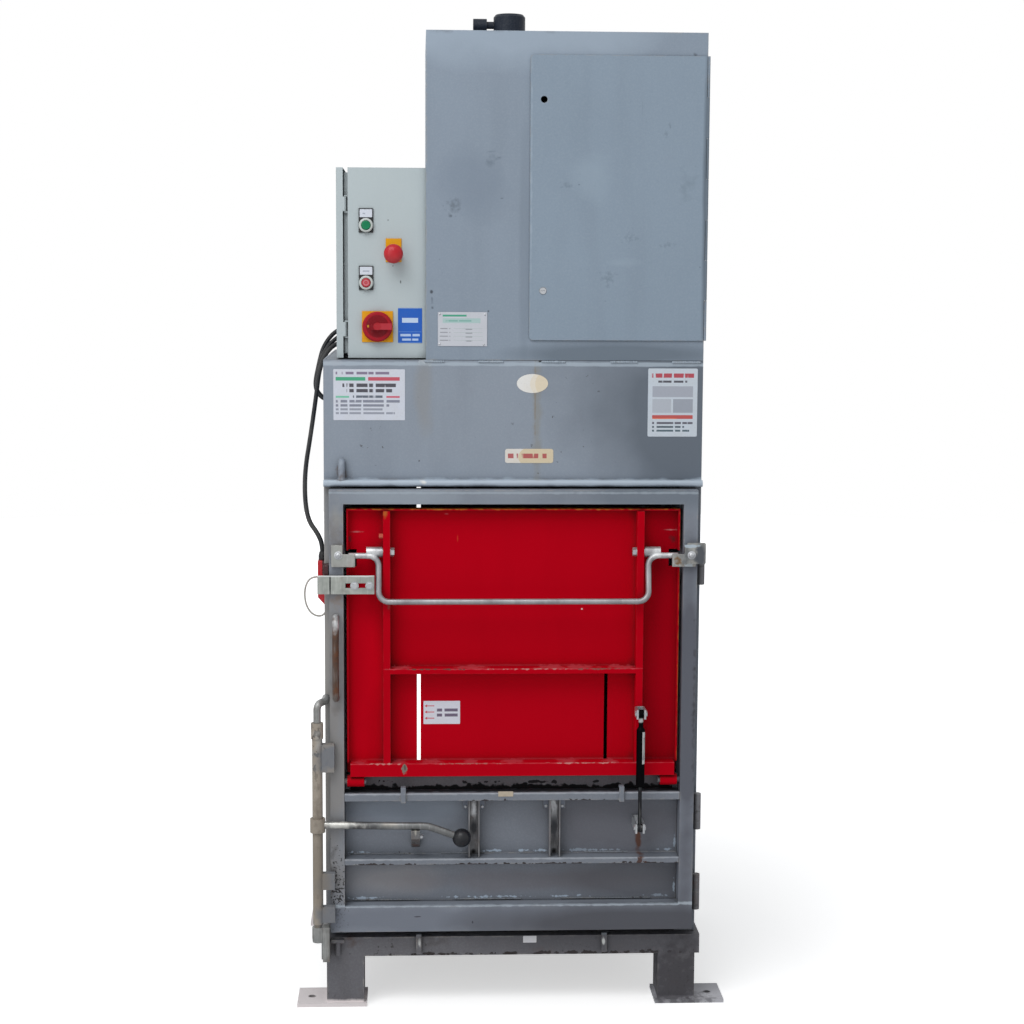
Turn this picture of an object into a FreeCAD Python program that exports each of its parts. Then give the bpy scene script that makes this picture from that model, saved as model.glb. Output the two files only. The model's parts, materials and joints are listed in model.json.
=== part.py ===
import FreeCAD, Part
import math
import os
import re

import Sketcher

# Vertical baler for card and film, millimetres. +X is the right-hand side seen from the front, +Y
# runs to the back and +Z is up. The origin is on the floor, midway between the outermost points.
# "face" is the front plane of the welded body, from which every depth is counted.

SIZES = {
    # welded body
    "face": -270, "chamber_half": 356, "wall_depth": 44, "body_half": "=chamber_half + wall_depth",
    "body_depth": 600, "plate": 4, "chamber_top": 1126, "housing_height": 266,
    "housing_top": "=chamber_top + housing_height", "top_plate_thick": 12,
    "lip_ahead": 22, "lip_height": 14, "lip_round": 6,
    "hook_x": "=-(body_half - 38)", "hook_z": "=chamber_top + 52", "hook_out": 13,
    "hook_radius": 7, "hook_bend": 9,
    "rib_thick": 8, "rib_low": 330, "rib_mid": 590, "rib_high": 826,
    "back_rib_depth": 29, "back_rib_height": 50, "back_rib_inset": 6,
    "back_rib_low": 250, "back_rib_mid": 640, "back_rib_high": 920,
    # base frame, legs and feet
    "base_half": "=body_half + 8", "base_ahead": 25, "base_behind": 8, "base_top": 152,
    "rail_height": 42, "rail_width": 80, "cross_half": 30, "cross_at": 120,
    "leg_half": "=body_half - 2", "leg_size": 80, "leg_wall": 4,
    "foot_thick": 8, "foot_out": "=leg_half + 64", "foot_in": "=leg_half - 86", "foot_ahead": 8,
    "foot_depth": 100, "foot_hole_x": "=foot_out - 30", "foot_hole_y": 39, "foot_hole_radius": 7,
    "drop_x": "=-(body_half - 26)", "drop_radius": 6, "drop_length": 28, "drop_head": 13.5,
    "drop_low": "=base_top - 37", "strap_eye_half": 5.5, "strap_eye_out": 10, "strap_eye_gap": 6,
    "strap_eye_low": "=base_top - 35", "strap_eye_high": "=base_top + 8", "strap_eye_bar": 7,
    # strap channels, shared by floor, platen and back wall
    "strap_outer": 200, "strap_inner": 87, "channel_half": 12, "strap_slot_half": 5,
    "floor_height": 44, "strap_slot_low": "=base_top + 38", "strap_slot_high": "=chamber_top - 36",
    "strap_slot_short": "=chamber_top - 130",
    # cabinet over the chamber
    "cabinet_left": -185, "cabinet_right": "=body_half", "cabinet_depth": 440,
    "cabinet_height": 678, "cabinet_top": "=housing_top + cabinet_height",
    "sheet": 3, "cover_left": 31, "cover_right": "=cabinet_right - 1.5",
    "cover_low": "=housing_top + 42", "cover_high": "=cabinet_top - 48",
    "cover_lap": 14, "cover_step": 1, "cover_corner": 8, "hinge_tube": 2.5, "hinge_play": 0.3,
    "stiffener": 12, "stiffener_in": 60, "catch_radius": 7, "catch_low": "=cover_low + 103",
    "catch_high": "=cover_high - 91", "catch_in": 28.5, "catch_stem": 4, "catch_head": 1.5,
    "catch_cam": 6, "catch_slot": 1,
    # cylinder, platen
    "ram_y": 300, "bore": 31.5, "barrel_radius": 40, "barrel_top": "=cabinet_top - 10",
    "rod_radius": 20, "rod_play": 0.1, "piston_length": 40, "piston_gap": 30, "cap_radius": 35,
    "cap_top": "=cabinet_top + 70", "gland_radius": 45, "gland_drop": 20, "flange_radius": 65,
    "flange_thick": 15, "platen_play": 6, "platen_half": "=chamber_half - platen_play",
    "platen_gap": 6, "platen_low": "=chamber_top + 14", "platen_bar": 40, "platen_plate": 10,
    "platen_rib_height": 40, "platen_rib_half": 6, "platen_rib_at": 150, "clevis_radius": 45,
    # hydraulic power pack
    "tank_left": 130, "tank_right": "=cabinet_right - 20", "tank_front": 120, "tank_back": 420,
    "tank_height": 240, "tank_lid": 6, "lid_lap": 7, "motor_x": "=(tank_left + tank_right) / 2",
    "motor_y": "=(tank_front + tank_back) / 2", "motor_radius": 70,
    "bell_radius": 55, "bell_height": 62, "motor_height": 230, "cowl_height": 50,
    "fin_height": 6, "fin_half": 1.5, "valve_left": "=tank_left + 10",
    "valve_front": "=tank_front + 10", "valve_size": 50,
    "valve_height": 62, "coil_radius": 17, "coil_height": 70, "pipe_radius": 6, "pipe_bend": 24,
    "low_port": "=housing_top + 38", "fitting_height": "=cabinet_top + 47", "fitting_nut": 14,
    "fitting_end": 80, "fitting_drop_x": 66,
    # control box on the cabinet's left side
    "box_depth": 163, "box_left": "=cabinet_left - box_depth", "box_behind": 15, "box_width": 300,
    "box_low": "=housing_top + 3", "box_height": 395, "box_high": "=box_low + box_height",
    "box_wall": 2, "neck": 8, "neck_inset": 10, "box_door_out": "=box_left - 24",
    "box_door_thick": 14, "box_hinge_x": "=box_left - 6", "box_hinge_back": 4, "knuckle_radius": 3,
    "knuckle_low": "=box_low + 45", "knuckle_high": "=box_high - 90", "knuckle_length": 30,
    "box_catch_y": 270, "box_catch_z": "=box_low + 197", "contactor_inset": 20,
    "contactor_z": "=box_low + 35", "contactor_size": 50, "contactor_tall": 85,
    # push buttons and main switch
    "button_x": "=box_left + 38", "start_z": "=box_low + 276", "stop_z": "=box_low + 157",
    "estop_x": "=box_left + 95.5", "estop_z": "=box_low + 217",
    "main_x": "=box_left + 61.5", "main_z": "=box_low + 65.5", "hole_radius": 11.2,
    "thread_radius": 11, "thread_length": 40, "block_front": 38, "block_back": 80, "block_half": 20,
    "carrier_half": 15, "carrier_height": 50, "carrier_thick": 3, "bezel_radius": 14.75,
    "bezel_depth": 6, "cap_out_radius": 9.5, "stem_radius": 5.9, "stem_bore": 6,
    "button_travel": 4, "estop_radius": 20, "label_half": 16.5, "label_height": 49,
    "label_drop": 17, "label_thick": 2, "main_plate_half": 32.5, "dial_radius": 31.5,
    "dial_depth": 13, "grip_half": 6.5, "grip_out": 14,
    # bale door, hinged on the right
    "door_inset": 12, "door_half": "=body_half - door_inset", "door_low": "=base_top + 18",
    "door_high": "=chamber_top - 4", "door_front": 45, "door_gap": 1,
    "stile": 30, "bottom_rail": 56, "door_wall": 4, "panel_front": 6, "panel_high": 505,
    "rib_top_z": 456, "rib_top_height": 17, "rib_mid_z": 317, "rib_mid_height": 13,
    "door_hook_half": 5.5, "door_hook_at": "=strap_outer + 33", "sill_gap": 12, "sill_thick": 4,
    "hinge_x": "=body_half - 1", "hinge_y": 20, "hinge_radius": 8, "hinge_pin": 5, "pin_play": 0.1,
    "knuckle": 39, "hinge_top_z": 918, "hinge_mid_z": 385, "hinge_low_z": "=door_low + 37",
    "guide_at": 86.5, "guide_shift": 4.5, "guide_half": 12, "guide_low": 330, "guide_high": 455,
    "guide_front": 38, "guide_wall": 3, "pull_x": "=-(door_half - 14)", "pull_low": 675,
    "pull_high": 861, "pull_radius": 7, "pull_out": 26, "rest_x": "=lock_x + 207", "rest_half": 9,
    # loading flap, hinged at its lower edge
    "flap_play": 6, "flap_half": "=door_half - stile - flap_play", "flap_low": 512,
    "flap_high": "=door_high - stile - 11", "flap_front": 10, "flap_rim": 22,
    "flap_rib_in": "=flap_half - 92", "flap_rib_out": "=flap_half - 77", "flap_bar_low": 510,
    "flap_bar_high": 538, "flap_cross_low": 731, "flap_cross_high": 742, "flap_hinge_y": 30,
    "flap_hinge_z": 497, "flap_pin": 6, "lug_in": "=flap_half - 36", "lug_radius": 11.5,
    "lug_web": 5, "slot_half": 3.8, "slot_low": "=flap_bar_high - 2",
    "slot_high": "=flap_cross_low - 4",
    # flap handle and its keepers
    "handle_y": 34, "handle_z": 990, "handle_bar": 6.25, "handle_x": "=flap_rib_out + 9",
    "handle_low": 888, "handle_out": 60, "handle_bend": 22, "hub_radius": 11,
    "hub_out": "=handle_x + 26", "hub_in": "=handle_x - 7", "latch_offset": 7,
    "latch_out": "=flap_half - 5", "bolt_radius": 6, "bolt_head": 10,
    "keeper_out": "=door_half - 5", "keeper_in": "=flap_half - 19", "keeper_play": 2,
    "keeper_low": 961, "keeper_high": 1007, "keeper_step": 988, "keeper_front": 57,
    "keeper_plate": 6, "notch_play": 5,
    # interlock bracket and safety switch
    "bracket_left": "=-(body_half + 12)", "bracket_right": "=-(flap_half - 59)",
    "bracket_low": 904, "bracket_high": 943, "bracket_plate": 5, "bracket_front": 57,
    "screw_near": "=bracket_right - 10", "screw_far": "=bracket_right - 41.5",
    "screw_z": 922, "screw_radius": 4, "spacer_radius": 8, "tongue": 3,
    "switch_left": "=-(body_half + 14)", "switch_right": "=-(body_half - 26)",
    "switch_high": 966, "switch_low": 870, "switch_depth": 36, "tether_y": 18, "tether_z": 930,
    # lock shaft on the left-hand side
    "lock_x": "=-(body_half + 14)", "lock_y": 60, "lock_radius": 11, "lock_low": "=base_top + 38",
    "lock_high": 631, "collar_radius": 13, "collar_height": 34, "lock_pin": 7,
    "socket_low": "=base_top + 3", "finger_reach": 36, "finger_gap": 1.5, "finger_top": 585,
    "finger_top_height": 60, "finger_mid": 305, "finger_mid_height": 35, "finger_low": 232,
    "finger_low_height": 34, "finger_half": 6, "hub_wall": 5, "hub_half": 15,
    "lever_z": 410, "lever_radius": 8, "lever_play": 4, "lever_bend_x": "=lock_x + 234",
    "lever_bend": 60, "knob_x": "=lock_x + 305", "knob_z": "=lever_z - 30",
    "knob_radius": 20, "arm_radius": 8, "arm_bend": 13, "arm_z": "=lock_high + 41",
    # gas spring of the flap
    "spring_x": "=flap_rib_out - 6", "spring_y": 75, "spring_top": 650, "spring_foot": 403,
    "spring_tube": 9, "spring_bore": 7.5, "spring_mouth": 157, "spring_neck": 34, "spring_rod": 4,
    "spring_rod_length": 130, "eye_radius": 9, "eye_pin": 4, "eye_half": 5, "ear_gap": 1,
    "ear_thick": 4, "ear_half": 10,
    # cables
    "cable_radius": 5, "gland_x": "=box_left + 18", "gland_step": 26, "gland_z": "=box_low + 35",
    "gland_length": 25, "switch_gland_x": "=switch_left + 10", "switch_gland_y": 22,
    "grommet_y": 380, "grommet_z": "=housing_top - 108", "grommet_thick": 4, "tether_radius": 2,
}

doc = FreeCAD.newDocument("baler")
sheet = doc.addObject("Spreadsheet::Sheet", "Size")
for row, (alias, number) in enumerate(SIZES.items(), start=1):
    sheet.set(f"A{row}", alias)
    sheet.set(f"B{row}", str(number))
    sheet.setAlias(f"B{row}", alias)
doc.recompute()

NODES = []
WORD = re.compile(r"[a-z][a-z_]*[a-z]")
TURNS = {
    "z": FreeCAD.Rotation(),
    "x": FreeCAD.Rotation(FreeCAD.Vector(0, 1, 0), 90),
    "-x": FreeCAD.Rotation(FreeCAD.Vector(0, 1, 0), -90),
    "y": FreeCAD.Rotation(FreeCAD.Vector(1, 0, 0), -90),
    "-y": FreeCAD.Rotation(FreeCAD.Vector(1, 0, 0), 90),
}


# ---------------------------------------------------------------- helpers: sheet and formulas

def formula(text):
    """Give each size named in a formula its place in the sheet."""
    return WORD.sub(lambda m: "Size." + m.group(0) if m.group(0) in SIZES else m.group(0), str(text))


def size(alias):
    """The number that the sheet holds, for shapes that are worked out here."""
    return float(getattr(sheet, alias))


def bind(piece, **formulas):
    for prop, text in formulas.items():
        piece.setExpression(prop, formula(text))


def place(piece, at):
    for letter, text in zip("xyz", at):
        piece.setExpression(f"Placement.Base.{letter}", formula(text))


def node(piece, name):
    """Name a finished piece and put it on the list that is written out."""
    piece.Label = name
    NODES.append(piece)
    return piece


# ---------------------------------------------------------------- helpers: solids

def box(xs, ys, zs):
    """A block between two planes each way."""
    piece = doc.addObject("Part::Box", "block")
    bind(piece, Length=f"({xs[1]}) - ({xs[0]})", Width=f"({ys[1]}) - ({ys[0]})",
         Height=f"({zs[1]}) - ({zs[0]})")
    place(piece, (xs[0], ys[0], zs[0]))
    return piece


def rod(radius, length, at, axis="z"):
    """A round bar that starts at a point and runs along an axis."""
    piece = doc.addObject("Part::Cylinder", "bar")
    bind(piece, Radius=radius, Height=length)
    piece.Placement = FreeCAD.Placement(FreeCAD.Vector(), TURNS[axis])
    place(piece, at)
    return piece


def fuse(*pieces):
    joined = doc.addObject("Part::MultiFuse", "joined")
    joined.Shapes = list(pieces)
    return joined


def cut(base, *tools):
    piece = doc.addObject("Part::Cut", "cut")
    piece.Base = base
    piece.Tool = tools[0] if len(tools) == 1 else fuse(*tools)
    return piece


def group(*pieces):
    """Like pieces that share one node and stay separate solids."""
    held = doc.addObject("Part::Compound", "group")
    held.Links = list(pieces)
    return held


def rounded(base, radius, along, wanted):
    """Round those edges of a piece that run along an axis and whose middle satisfies a test."""
    doc.recompute()
    edges = []
    for i, edge in enumerate(base.Shape.Edges, start=1):
        first, last = edge.Vertexes[0].Point, edge.Vertexes[-1].Point
        run = last - first
        if abs(getattr(run, along)) > 0.999 * run.Length and wanted((first + last) / 2):
            edges.append(i)
    piece = doc.addObject("Part::Fillet", "rounded")
    piece.Base = base
    piece.Edges = [(i, size(radius), size(radius)) for i in edges]
    return piece


def outline_sketch(body, plane, outline):
    """A closed outline whose corners are bound to the sheet."""
    sketch = body.newObject("Sketcher::SketchObject", "outline")
    origin = [f for f in body.Origin.OriginFeatures if f.Role == plane + "_Plane"][0]
    sketch.AttachmentSupport = [(origin, "")]
    sketch.MapMode = "FlatFace"
    count = len(outline)
    for i in range(count):
        start = FreeCAD.Vector(10 * i, i * i, 0)
        end = FreeCAD.Vector(10 * (i + 1), (i + 1) ** 2, 0)
        sketch.addGeometry(Part.LineSegment(start, end), False)
    for i in range(count):
        sketch.addConstraint(Sketcher.Constraint("Coincident", i, 2, (i + 1) % count, 1))
    for i, corner in enumerate(outline):
        for kind, text in zip(("DistanceX", "DistanceY"), corner):
            place_of = sketch.addConstraint(Sketcher.Constraint(kind, -1, 1, i, 1, 1.0))
            sketch.setExpression(f"Constraints[{place_of}]", formula(text))
    return sketch


def profile(plane, outline, start, end):
    """A section drawn on a plane and padded from one depth to another."""
    body = doc.addObject("PartDesign::Body", "section")
    sketch = outline_sketch(body, plane, outline)
    depth = f"-({end})" if plane == "XZ" else start
    sketch.setExpression("AttachmentOffset.Base.z", formula(depth))
    pad = body.newObject("PartDesign::Pad", "pad")
    pad.Profile = sketch
    bind(pad, Length=f"({end}) - ({start})")
    return body


def turned(outline, at, axis="z"):
    """A turned piece: (radius, distance along the axis) corners spun about an axis."""
    body = doc.addObject("PartDesign::Body", "turned")
    sketch = outline_sketch(body, "XZ", outline)
    spin = body.newObject("PartDesign::Revolution", "spin")
    spin.Profile = sketch
    spin.ReferenceAxis = (sketch, ["V_Axis"])
    spin.Angle = 360
    body.Placement = FreeCAD.Placement(FreeCAD.Vector(), TURNS[axis])
    place(body, at)
    return body


def mirrored(side, inner, outer):
    """The low and high plane of a piece on the right (1) or the left (-1)."""
    return (inner, outer) if side > 0 else (f"-({outer})", f"-({inner})")


def bent_path(points, bend=None):
    """Straight runs joined by tangent arcs. Without a bend each arc takes what its runs allow."""
    corners = [FreeCAD.Vector(*p) for p in points]
    edges = []
    radii = []
    start = corners[0]
    for before, corner, after in zip(corners, corners[1:], corners[2:]):
        back = before - corner
        ahead = after - corner
        shorter = min(back.Length, ahead.Length)
        half_turn = (math.pi - back.getAngle(ahead)) / 2
        radius = bend if bend else 0.45 * shorter / math.tan(half_turn)
        reach = radius * math.tan(half_turn)
        back.normalize()
        ahead.normalize()
        first = corner + back * reach
        last = corner + ahead * reach
        inward = back + ahead
        inward.normalize()
        middle = corner + inward * (radius / math.cos(half_turn) - radius)
        edges.append(Part.LineSegment(start, first).toShape())
        edges.append(Part.Arc(first, middle, last).toShape())
        radii.append(radius)
        start = last
    edges.append(Part.LineSegment(start, corners[-1]).toShape())
    return Part.Wire(edges), radii


def bent_bar(points, radius, bend=None):
    """A round bar, pipe or cable along bent_path."""
    path, radii = bent_path(points, bend)
    start = FreeCAD.Vector(*points[0])
    along = FreeCAD.Vector(*points[1]) - start
    ring = Part.Wire([Part.Circle(start, along, radius).toShape()])
    solid = path.makePipeShell([ring], True, False)
    error = abs(solid.Volume / (math.pi * radius ** 2 * path.Length) - 1)
    if error > 0.002:
        raise RuntimeError(f"a bent bar's volume is off by {error:.1%}")
    piece = doc.addObject("Part::Feature", "bent_bar")
    piece.Shape = solid
    return piece, radii, path.Length


# ---------------------------------------------------------------- base frame and feet

LEFT, RIGHT = -1, 1
BACK = "face + body_depth"


def ring(half, y_low, y_high, zs):
    return box((f"-({half})", half), (y_low, y_high), zs)


def foot(side, rear):
    """One leg of square tube on its drilled foot plate."""
    if rear:
        ys = (f"{BACK} + base_behind - leg_size", f"{BACK} + base_behind")
        plate_ys = (f"{BACK} + base_behind + foot_ahead - foot_depth",
                    f"{BACK} + base_behind + foot_ahead")
        hole_y = f"{BACK} + base_behind - foot_hole_y"
    else:
        ys = ("face - base_ahead", "face - base_ahead + leg_size")
        plate_ys = ("face - base_ahead - foot_ahead",
                    "face - base_ahead - foot_ahead + foot_depth")
        hole_y = "face - base_ahead + foot_hole_y"
    xs = mirrored(side, "leg_half - leg_size", "leg_half")
    zs = ("foot_thick", "base_top - rail_height")
    tube = cut(box(xs, ys, zs),
               box((f"{xs[0]} + leg_wall", f"{xs[1]} - leg_wall"),
                   (f"{ys[0]} + leg_wall", f"{ys[1]} - leg_wall"), zs))
    plate = cut(box(mirrored(side, "foot_in", "foot_out"), plate_ys, (0, "foot_thick")),
                rod("foot_hole_radius", "foot_thick", (f"{side} * foot_hole_x", hole_y, 0)))
    return fuse(tube, plate)


def strap_eye(x):
    """A bent bar eye that a strap end is hooked on while the bale is tied."""
    ahead = "face - base_ahead"
    xs = (f"{x} - strap_eye_half", f"{x} + strap_eye_half")
    return cut(box(xs, (f"{ahead} - strap_eye_out", ahead), ("strap_eye_low", "strap_eye_high")),
               box(xs, (f"{ahead} - strap_eye_gap", ahead),
                   ("strap_eye_low + strap_eye_bar", "strap_eye_high - strap_eye_gap - 4")))


def base_frame():
    low, top = "base_top - rail_height", "base_top"
    y_low, y_high = "face - base_ahead", f"{BACK} + base_behind"
    rails = cut(ring("base_half", y_low, y_high, (low, top)),
                ring("base_half - rail_width", f"{y_low} + rail_width",
                     f"{y_high} - rail_width", (low, top)))
    hollow = cut(ring("base_half - plate", f"{y_low} + plate", f"{y_high} - plate",
                      (low, f"{top} - plate")),
                 ring("base_half - rail_width + plate", f"{y_low} + rail_width - plate",
                      f"{y_high} - rail_width + plate", (low, f"{top} - plate")))
    members = [cut(rails, hollow)]
    for side in (LEFT, RIGHT):
        ys = (f"{y_low} + rail_width", f"{y_high} - rail_width")
        middle = f"{side} * cross_at"
        outer = (f"{middle} - cross_half", f"{middle} + cross_half")
        inner = (f"{middle} - cross_half + plate", f"{middle} + cross_half - plate")
        members.append(cut(box(outer, ys, (low, top)), box(inner, ys, (low, f"{top} - plate"))))
        members.append(foot(side, rear=False))
        members.append(foot(side, rear=True))
        members.append(strap_eye(f"{side} * strap_outer"))
    bolt_y = "face - base_ahead - drop_radius"
    members.append(rod("drop_radius", "drop_length", ("drop_x", bolt_y, "drop_low")))
    members.append(box(("drop_x - drop_head", "drop_x + drop_head"),
                       (f"{bolt_y} - drop_radius", f"{bolt_y} + drop_radius"),
                       ("drop_low + drop_length", "drop_low + drop_length + plate + sheet")))
    node(fuse(*members), "base_frame")


# ---------------------------------------------------------------- chamber

def channelled(half, root, flat, step):
    """Corners of a folded section: flat bars with a strap channel between each two.

    The flats lie at one level and the channel bottoms at the other; step is one sheet thickness
    taken from the flats towards the root."""
    lines = ["-strap_outer", "-strap_inner", "strap_inner", "strap_outer"]
    outer = [(f"-({half})", root), (f"-({half})", flat)]
    inner = [(f"-({half}) + plate", root), (f"-({half}) + plate", f"{flat} + ({step})")]
    for line in lines:
        left, right = f"{line} - channel_half", f"{line} + channel_half"
        outer += [(left, flat), (left, f"{root} - ({step})"), (right, f"{root} - ({step})"),
                  (right, flat)]
        inner += [(f"{left} - plate", f"{flat} + ({step})"), (f"{left} - plate", root),
                  (f"{right} + plate", root), (f"{right} + plate", f"{flat} + ({step})")]
    outer += [(half, flat), (half, root)]
    inner += [(f"{half} - plate", f"{flat} + ({step})"), (f"{half} - plate", root)]
    return outer + inner[::-1]


def chamber():
    section = channelled("chamber_half", "base_top", "base_top + floor_height", "-plate")
    floor = profile("XZ", section, "face + plate", f"{BACK} - 2 * plate")
    node(floor, "chamber_floor")
    for side, name in ((LEFT, "side_wall_left"), (RIGHT, "side_wall_right")):
        web, tip = "chamber_half", "body_half"
        corners = [(tip, "face"), (web, "face"), (web, BACK), (tip, BACK),
                   (tip, f"{BACK} - plate"), (f"{web} + plate", f"{BACK} - plate"),
                   (f"{web} + plate", "face + plate"), (tip, "face + plate")]
        folded = profile("XY", [(f"{side} * ({x})", y) for x, y in corners],
                         "base_top", "chamber_top")
        inside = ("face + plate", f"{BACK} - plate")
        reach = mirrored(side, f"{web} + plate", f"{tip} - plate")
        ribs = [box(reach, inside, (z, f"{z} + rib_thick"))
                for z in ("rib_low", "rib_mid", "rib_high")]
        cover = box(mirrored(side, web, tip), ("face", BACK),
                    ("chamber_top - plate", "chamber_top"))
        node(fuse(folded, cover, *ribs), name)
    ys = (f"{BACK} - 2 * plate", f"{BACK} - plate")
    wall = box(("-chamber_half", "chamber_half"), ys, ("base_top", "chamber_top"))
    # the slot at the far left runs higher than the other three
    slots = [box((f"{line} - strap_slot_half", f"{line} + strap_slot_half"), ys,
                 ("strap_slot_low", high))
             for line, high in (("-strap_outer", "strap_slot_high"),
                                ("-strap_inner", "strap_slot_short"),
                                ("strap_inner", "strap_slot_short"),
                                ("strap_outer", "strap_slot_short"))]
    hats = []
    for z in ("back_rib_low", "back_rib_mid", "back_rib_high"):
        depth = (f"{BACK} - plate", f"{BACK} - plate + back_rib_depth")
        xs = ("-(chamber_half - back_rib_inset)", "chamber_half - back_rib_inset")
        hats.append(cut(box(xs, depth, (z, f"{z} + back_rib_height")),
                        box(xs, (depth[0], f"{depth[1]} - plate"),
                            (f"{z} + plate", f"{z} + back_rib_height - plate"))))
    node(fuse(cut(wall, *slots), *hats), "back_wall")


GROMMETS = ("face + grommet_y", "face + grommet_y + gland_step - 1")


def housing():
    """Upper housing that hides the raised platen, with the thick plate that carries the ram."""
    zs = ("chamber_top", "housing_top")
    walls = cut(ring("body_half", "face", BACK, zs),
                ring("body_half - plate", "face + plate", f"{BACK} - plate", zs),
                *[rod("cable_radius + 1", "2 * plate", ("-body_half - plate", y, "grommet_z"), "x")
                  for y in GROMMETS])
    lip = box(("-body_half", "body_half"), ("face - lip_ahead", "face"),
              ("chamber_top", "chamber_top + lip_height"))
    face, x, high = size("face"), size("hook_x"), size("hook_z")
    lip = rounded(lip, "lip_round", "x", lambda p: abs(p.y - face + size("lip_ahead")) < 0.01)
    low = size("chamber_top") + size("lip_height")
    ahead = face - size("hook_out")
    hook, _, _ = bent_bar([(x, face, high), (x, ahead, high), (x, ahead, low)],
                          size("hook_radius"), size("hook_bend"))
    node(fuse(walls, lip, hook), "upper_housing")
    top = cut(ring("body_half - plate", "face + plate", f"{BACK} - plate",
                   ("housing_top - top_plate_thick", "housing_top")),
              rod("gland_radius", "top_plate_thick",
                  (0, "face + ram_y", "housing_top - top_plate_thick")))
    node(top, "top_plate")


# ---------------------------------------------------------------- cabinet and its cover

def cabinet():
    zs = ("housing_top", "cabinet_top")
    ys = ("face", "face + cabinet_depth")
    shell = cut(box(("cabinet_left", "cabinet_right"), ys, zs),
                box(("cabinet_left + sheet", "cabinet_right - sheet"),
                    (f"{ys[0]} + sheet", f"{ys[1]} - sheet"), (zs[0], f"{zs[1]} - sheet")),
                box(("cover_left + cover_lap", "cover_right - cover_lap"),
                    (ys[0], f"{ys[0]} + sheet"),
                    ("cover_low + cover_lap", "cover_high - cover_lap")),
                rod("cap_radius + 1", "sheet", (0, "face + ram_y", f"{zs[1]} - sheet")),
                rod("pipe_radius + 3", "sheet",
                    ("-fitting_drop_x", "face + ram_y", f"{zs[1]} - sheet")))
    count = 7
    strip = "(cover_high - cover_low) / 7"
    tubes = []
    for i in range(0, count, 2):
        low = f"cover_low + {i} * {strip} + hinge_play"
        tubes.append(hinge_tube(low, f"{strip} - 2 * hinge_play"))
        tubes.append(box(("cover_right + hinge_play", "cabinet_right + 0.5"),
                         ("face - hinge_tube", "face + sheet"),
                         (low, f"{low} + {strip} - 2 * hinge_play")))
    pin = rod("hinge_tube / 2", "cover_high - cover_low",
              ("cover_right + hinge_tube + cover_step", "face - hinge_tube", "cover_low"))
    node(fuse(shell, pin, *tubes), "cabinet_shell")

    ys = ("face - cover_step - sheet", "face - cover_step")
    panel = box(("cover_left", "cover_right"), ys, ("cover_low", "cover_high"))
    panel = rounded(panel, "cover_corner", "y", lambda p: abs(p.x - size("cover_left")) < 0.01)
    panel = cut(panel,
                rod("catch_radius + 0.3", "sheet",
                    ("cover_left + catch_in", ys[0], "catch_low"), "y"),
                rod("catch_radius", "sheet", ("cover_left + catch_in", ys[0], "catch_high"), "y"))
    stiff = []
    for z in ("cover_low + stiffener_in", "cover_high - stiffener_in - stiffener"):
        stiff.append(box(("cover_left + stiffener_in", "cover_right - stiffener_in"),
                         ("face - cover_step", "face + stiffener"), (z, f"{z} + stiffener")))
    knuckles = []
    for i in range(1, count, 2):
        low = f"cover_low + {i} * {strip} + hinge_play"
        tube = hinge_tube(low, f"{strip} - 2 * hinge_play", "hinge_tube / 2 + pin_play")
        web = box(("cover_right", "cover_right + cover_step + 0.6"), ys,
                  (low, f"{low} + {strip} - 2 * hinge_play"))
        knuckles += [tube, web]
    node(fuse(panel, *stiff, *knuckles), "access_cover")

    middle = "cover_left + catch_in"
    head = rod("catch_radius", "sheet + catch_head", (middle, f"{ys[0]} - catch_head", "catch_low"),
               "y")
    stem = rod("catch_stem", "4 * catch_stem", (middle, ys[1], "catch_low"), "y")
    cam = box(("cover_left", f"{middle} + catch_cam"), ("face + sheet + 0.5", "face + 2 * sheet + 0.5"),
              ("catch_low - catch_cam", "catch_low + catch_cam"))
    slot = box((f"{middle} - catch_radius + 2.5", f"{middle} + catch_radius - 2.5"),
               (f"{ys[0]} - catch_head", f"{ys[0]} + 0.5"),
               ("catch_low - catch_slot", "catch_low + catch_slot"))
    node(cut(fuse(head, stem, cam), slot), "cover_catch")


def hinge_tube(low, length, bore="hinge_tube / 2"):
    at = ("cover_right + hinge_tube + cover_step", "face - hinge_tube", low)
    return cut(rod("hinge_tube", length, at), rod(bore, length, at))


# ---------------------------------------------------------------- ram, platen and power pack

def ram():
    at = (0, "face + ram_y", 0)
    floor = "housing_top"
    barrel = turned([("rod_radius + rod_play", f"{floor} - gland_drop"),
                     ("gland_radius - 0.5", f"{floor} - gland_drop"),
                     ("gland_radius - 0.5", floor), ("flange_radius", floor),
                     ("flange_radius", f"{floor} + flange_thick"),
                     ("barrel_radius", f"{floor} + flange_thick"),
                     ("barrel_radius", "barrel_top"), ("bore", "barrel_top"),
                     ("bore", f"{floor} + flange_thick"),
                     ("rod_radius + rod_play", f"{floor} + flange_thick")], at)
    port = rod("pipe_radius + 4", "45", (0, "face + ram_y", "low_port"), "x")
    port = cut(port, rod("barrel_radius - 1", "40", (0, "face + ram_y", "low_port - 20")))
    node(fuse(barrel, port), "cylinder_barrel")
    node(turned([(0, "barrel_top"), ("barrel_radius", "barrel_top"),
                 ("barrel_radius", "barrel_top + 4"), ("cap_radius", "barrel_top + 6"),
                 ("cap_radius", "cap_top - 6"), ("cap_radius - 5", "cap_top"),
                 (0, "cap_top")], at), "cylinder_cap")
    node(turned([(0, "platen_low + platen_bar + platen_plate + 25"),
                 ("rod_radius", "platen_low + platen_bar + platen_plate + 25"),
                 ("rod_radius", "barrel_top - piston_gap - piston_length"),
                 ("bore - rod_play", "barrel_top - piston_gap - piston_length"),
                 ("bore - rod_play", "barrel_top - piston_gap"),
                 (0, "barrel_top - piston_gap")], at), "piston_rod")


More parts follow.
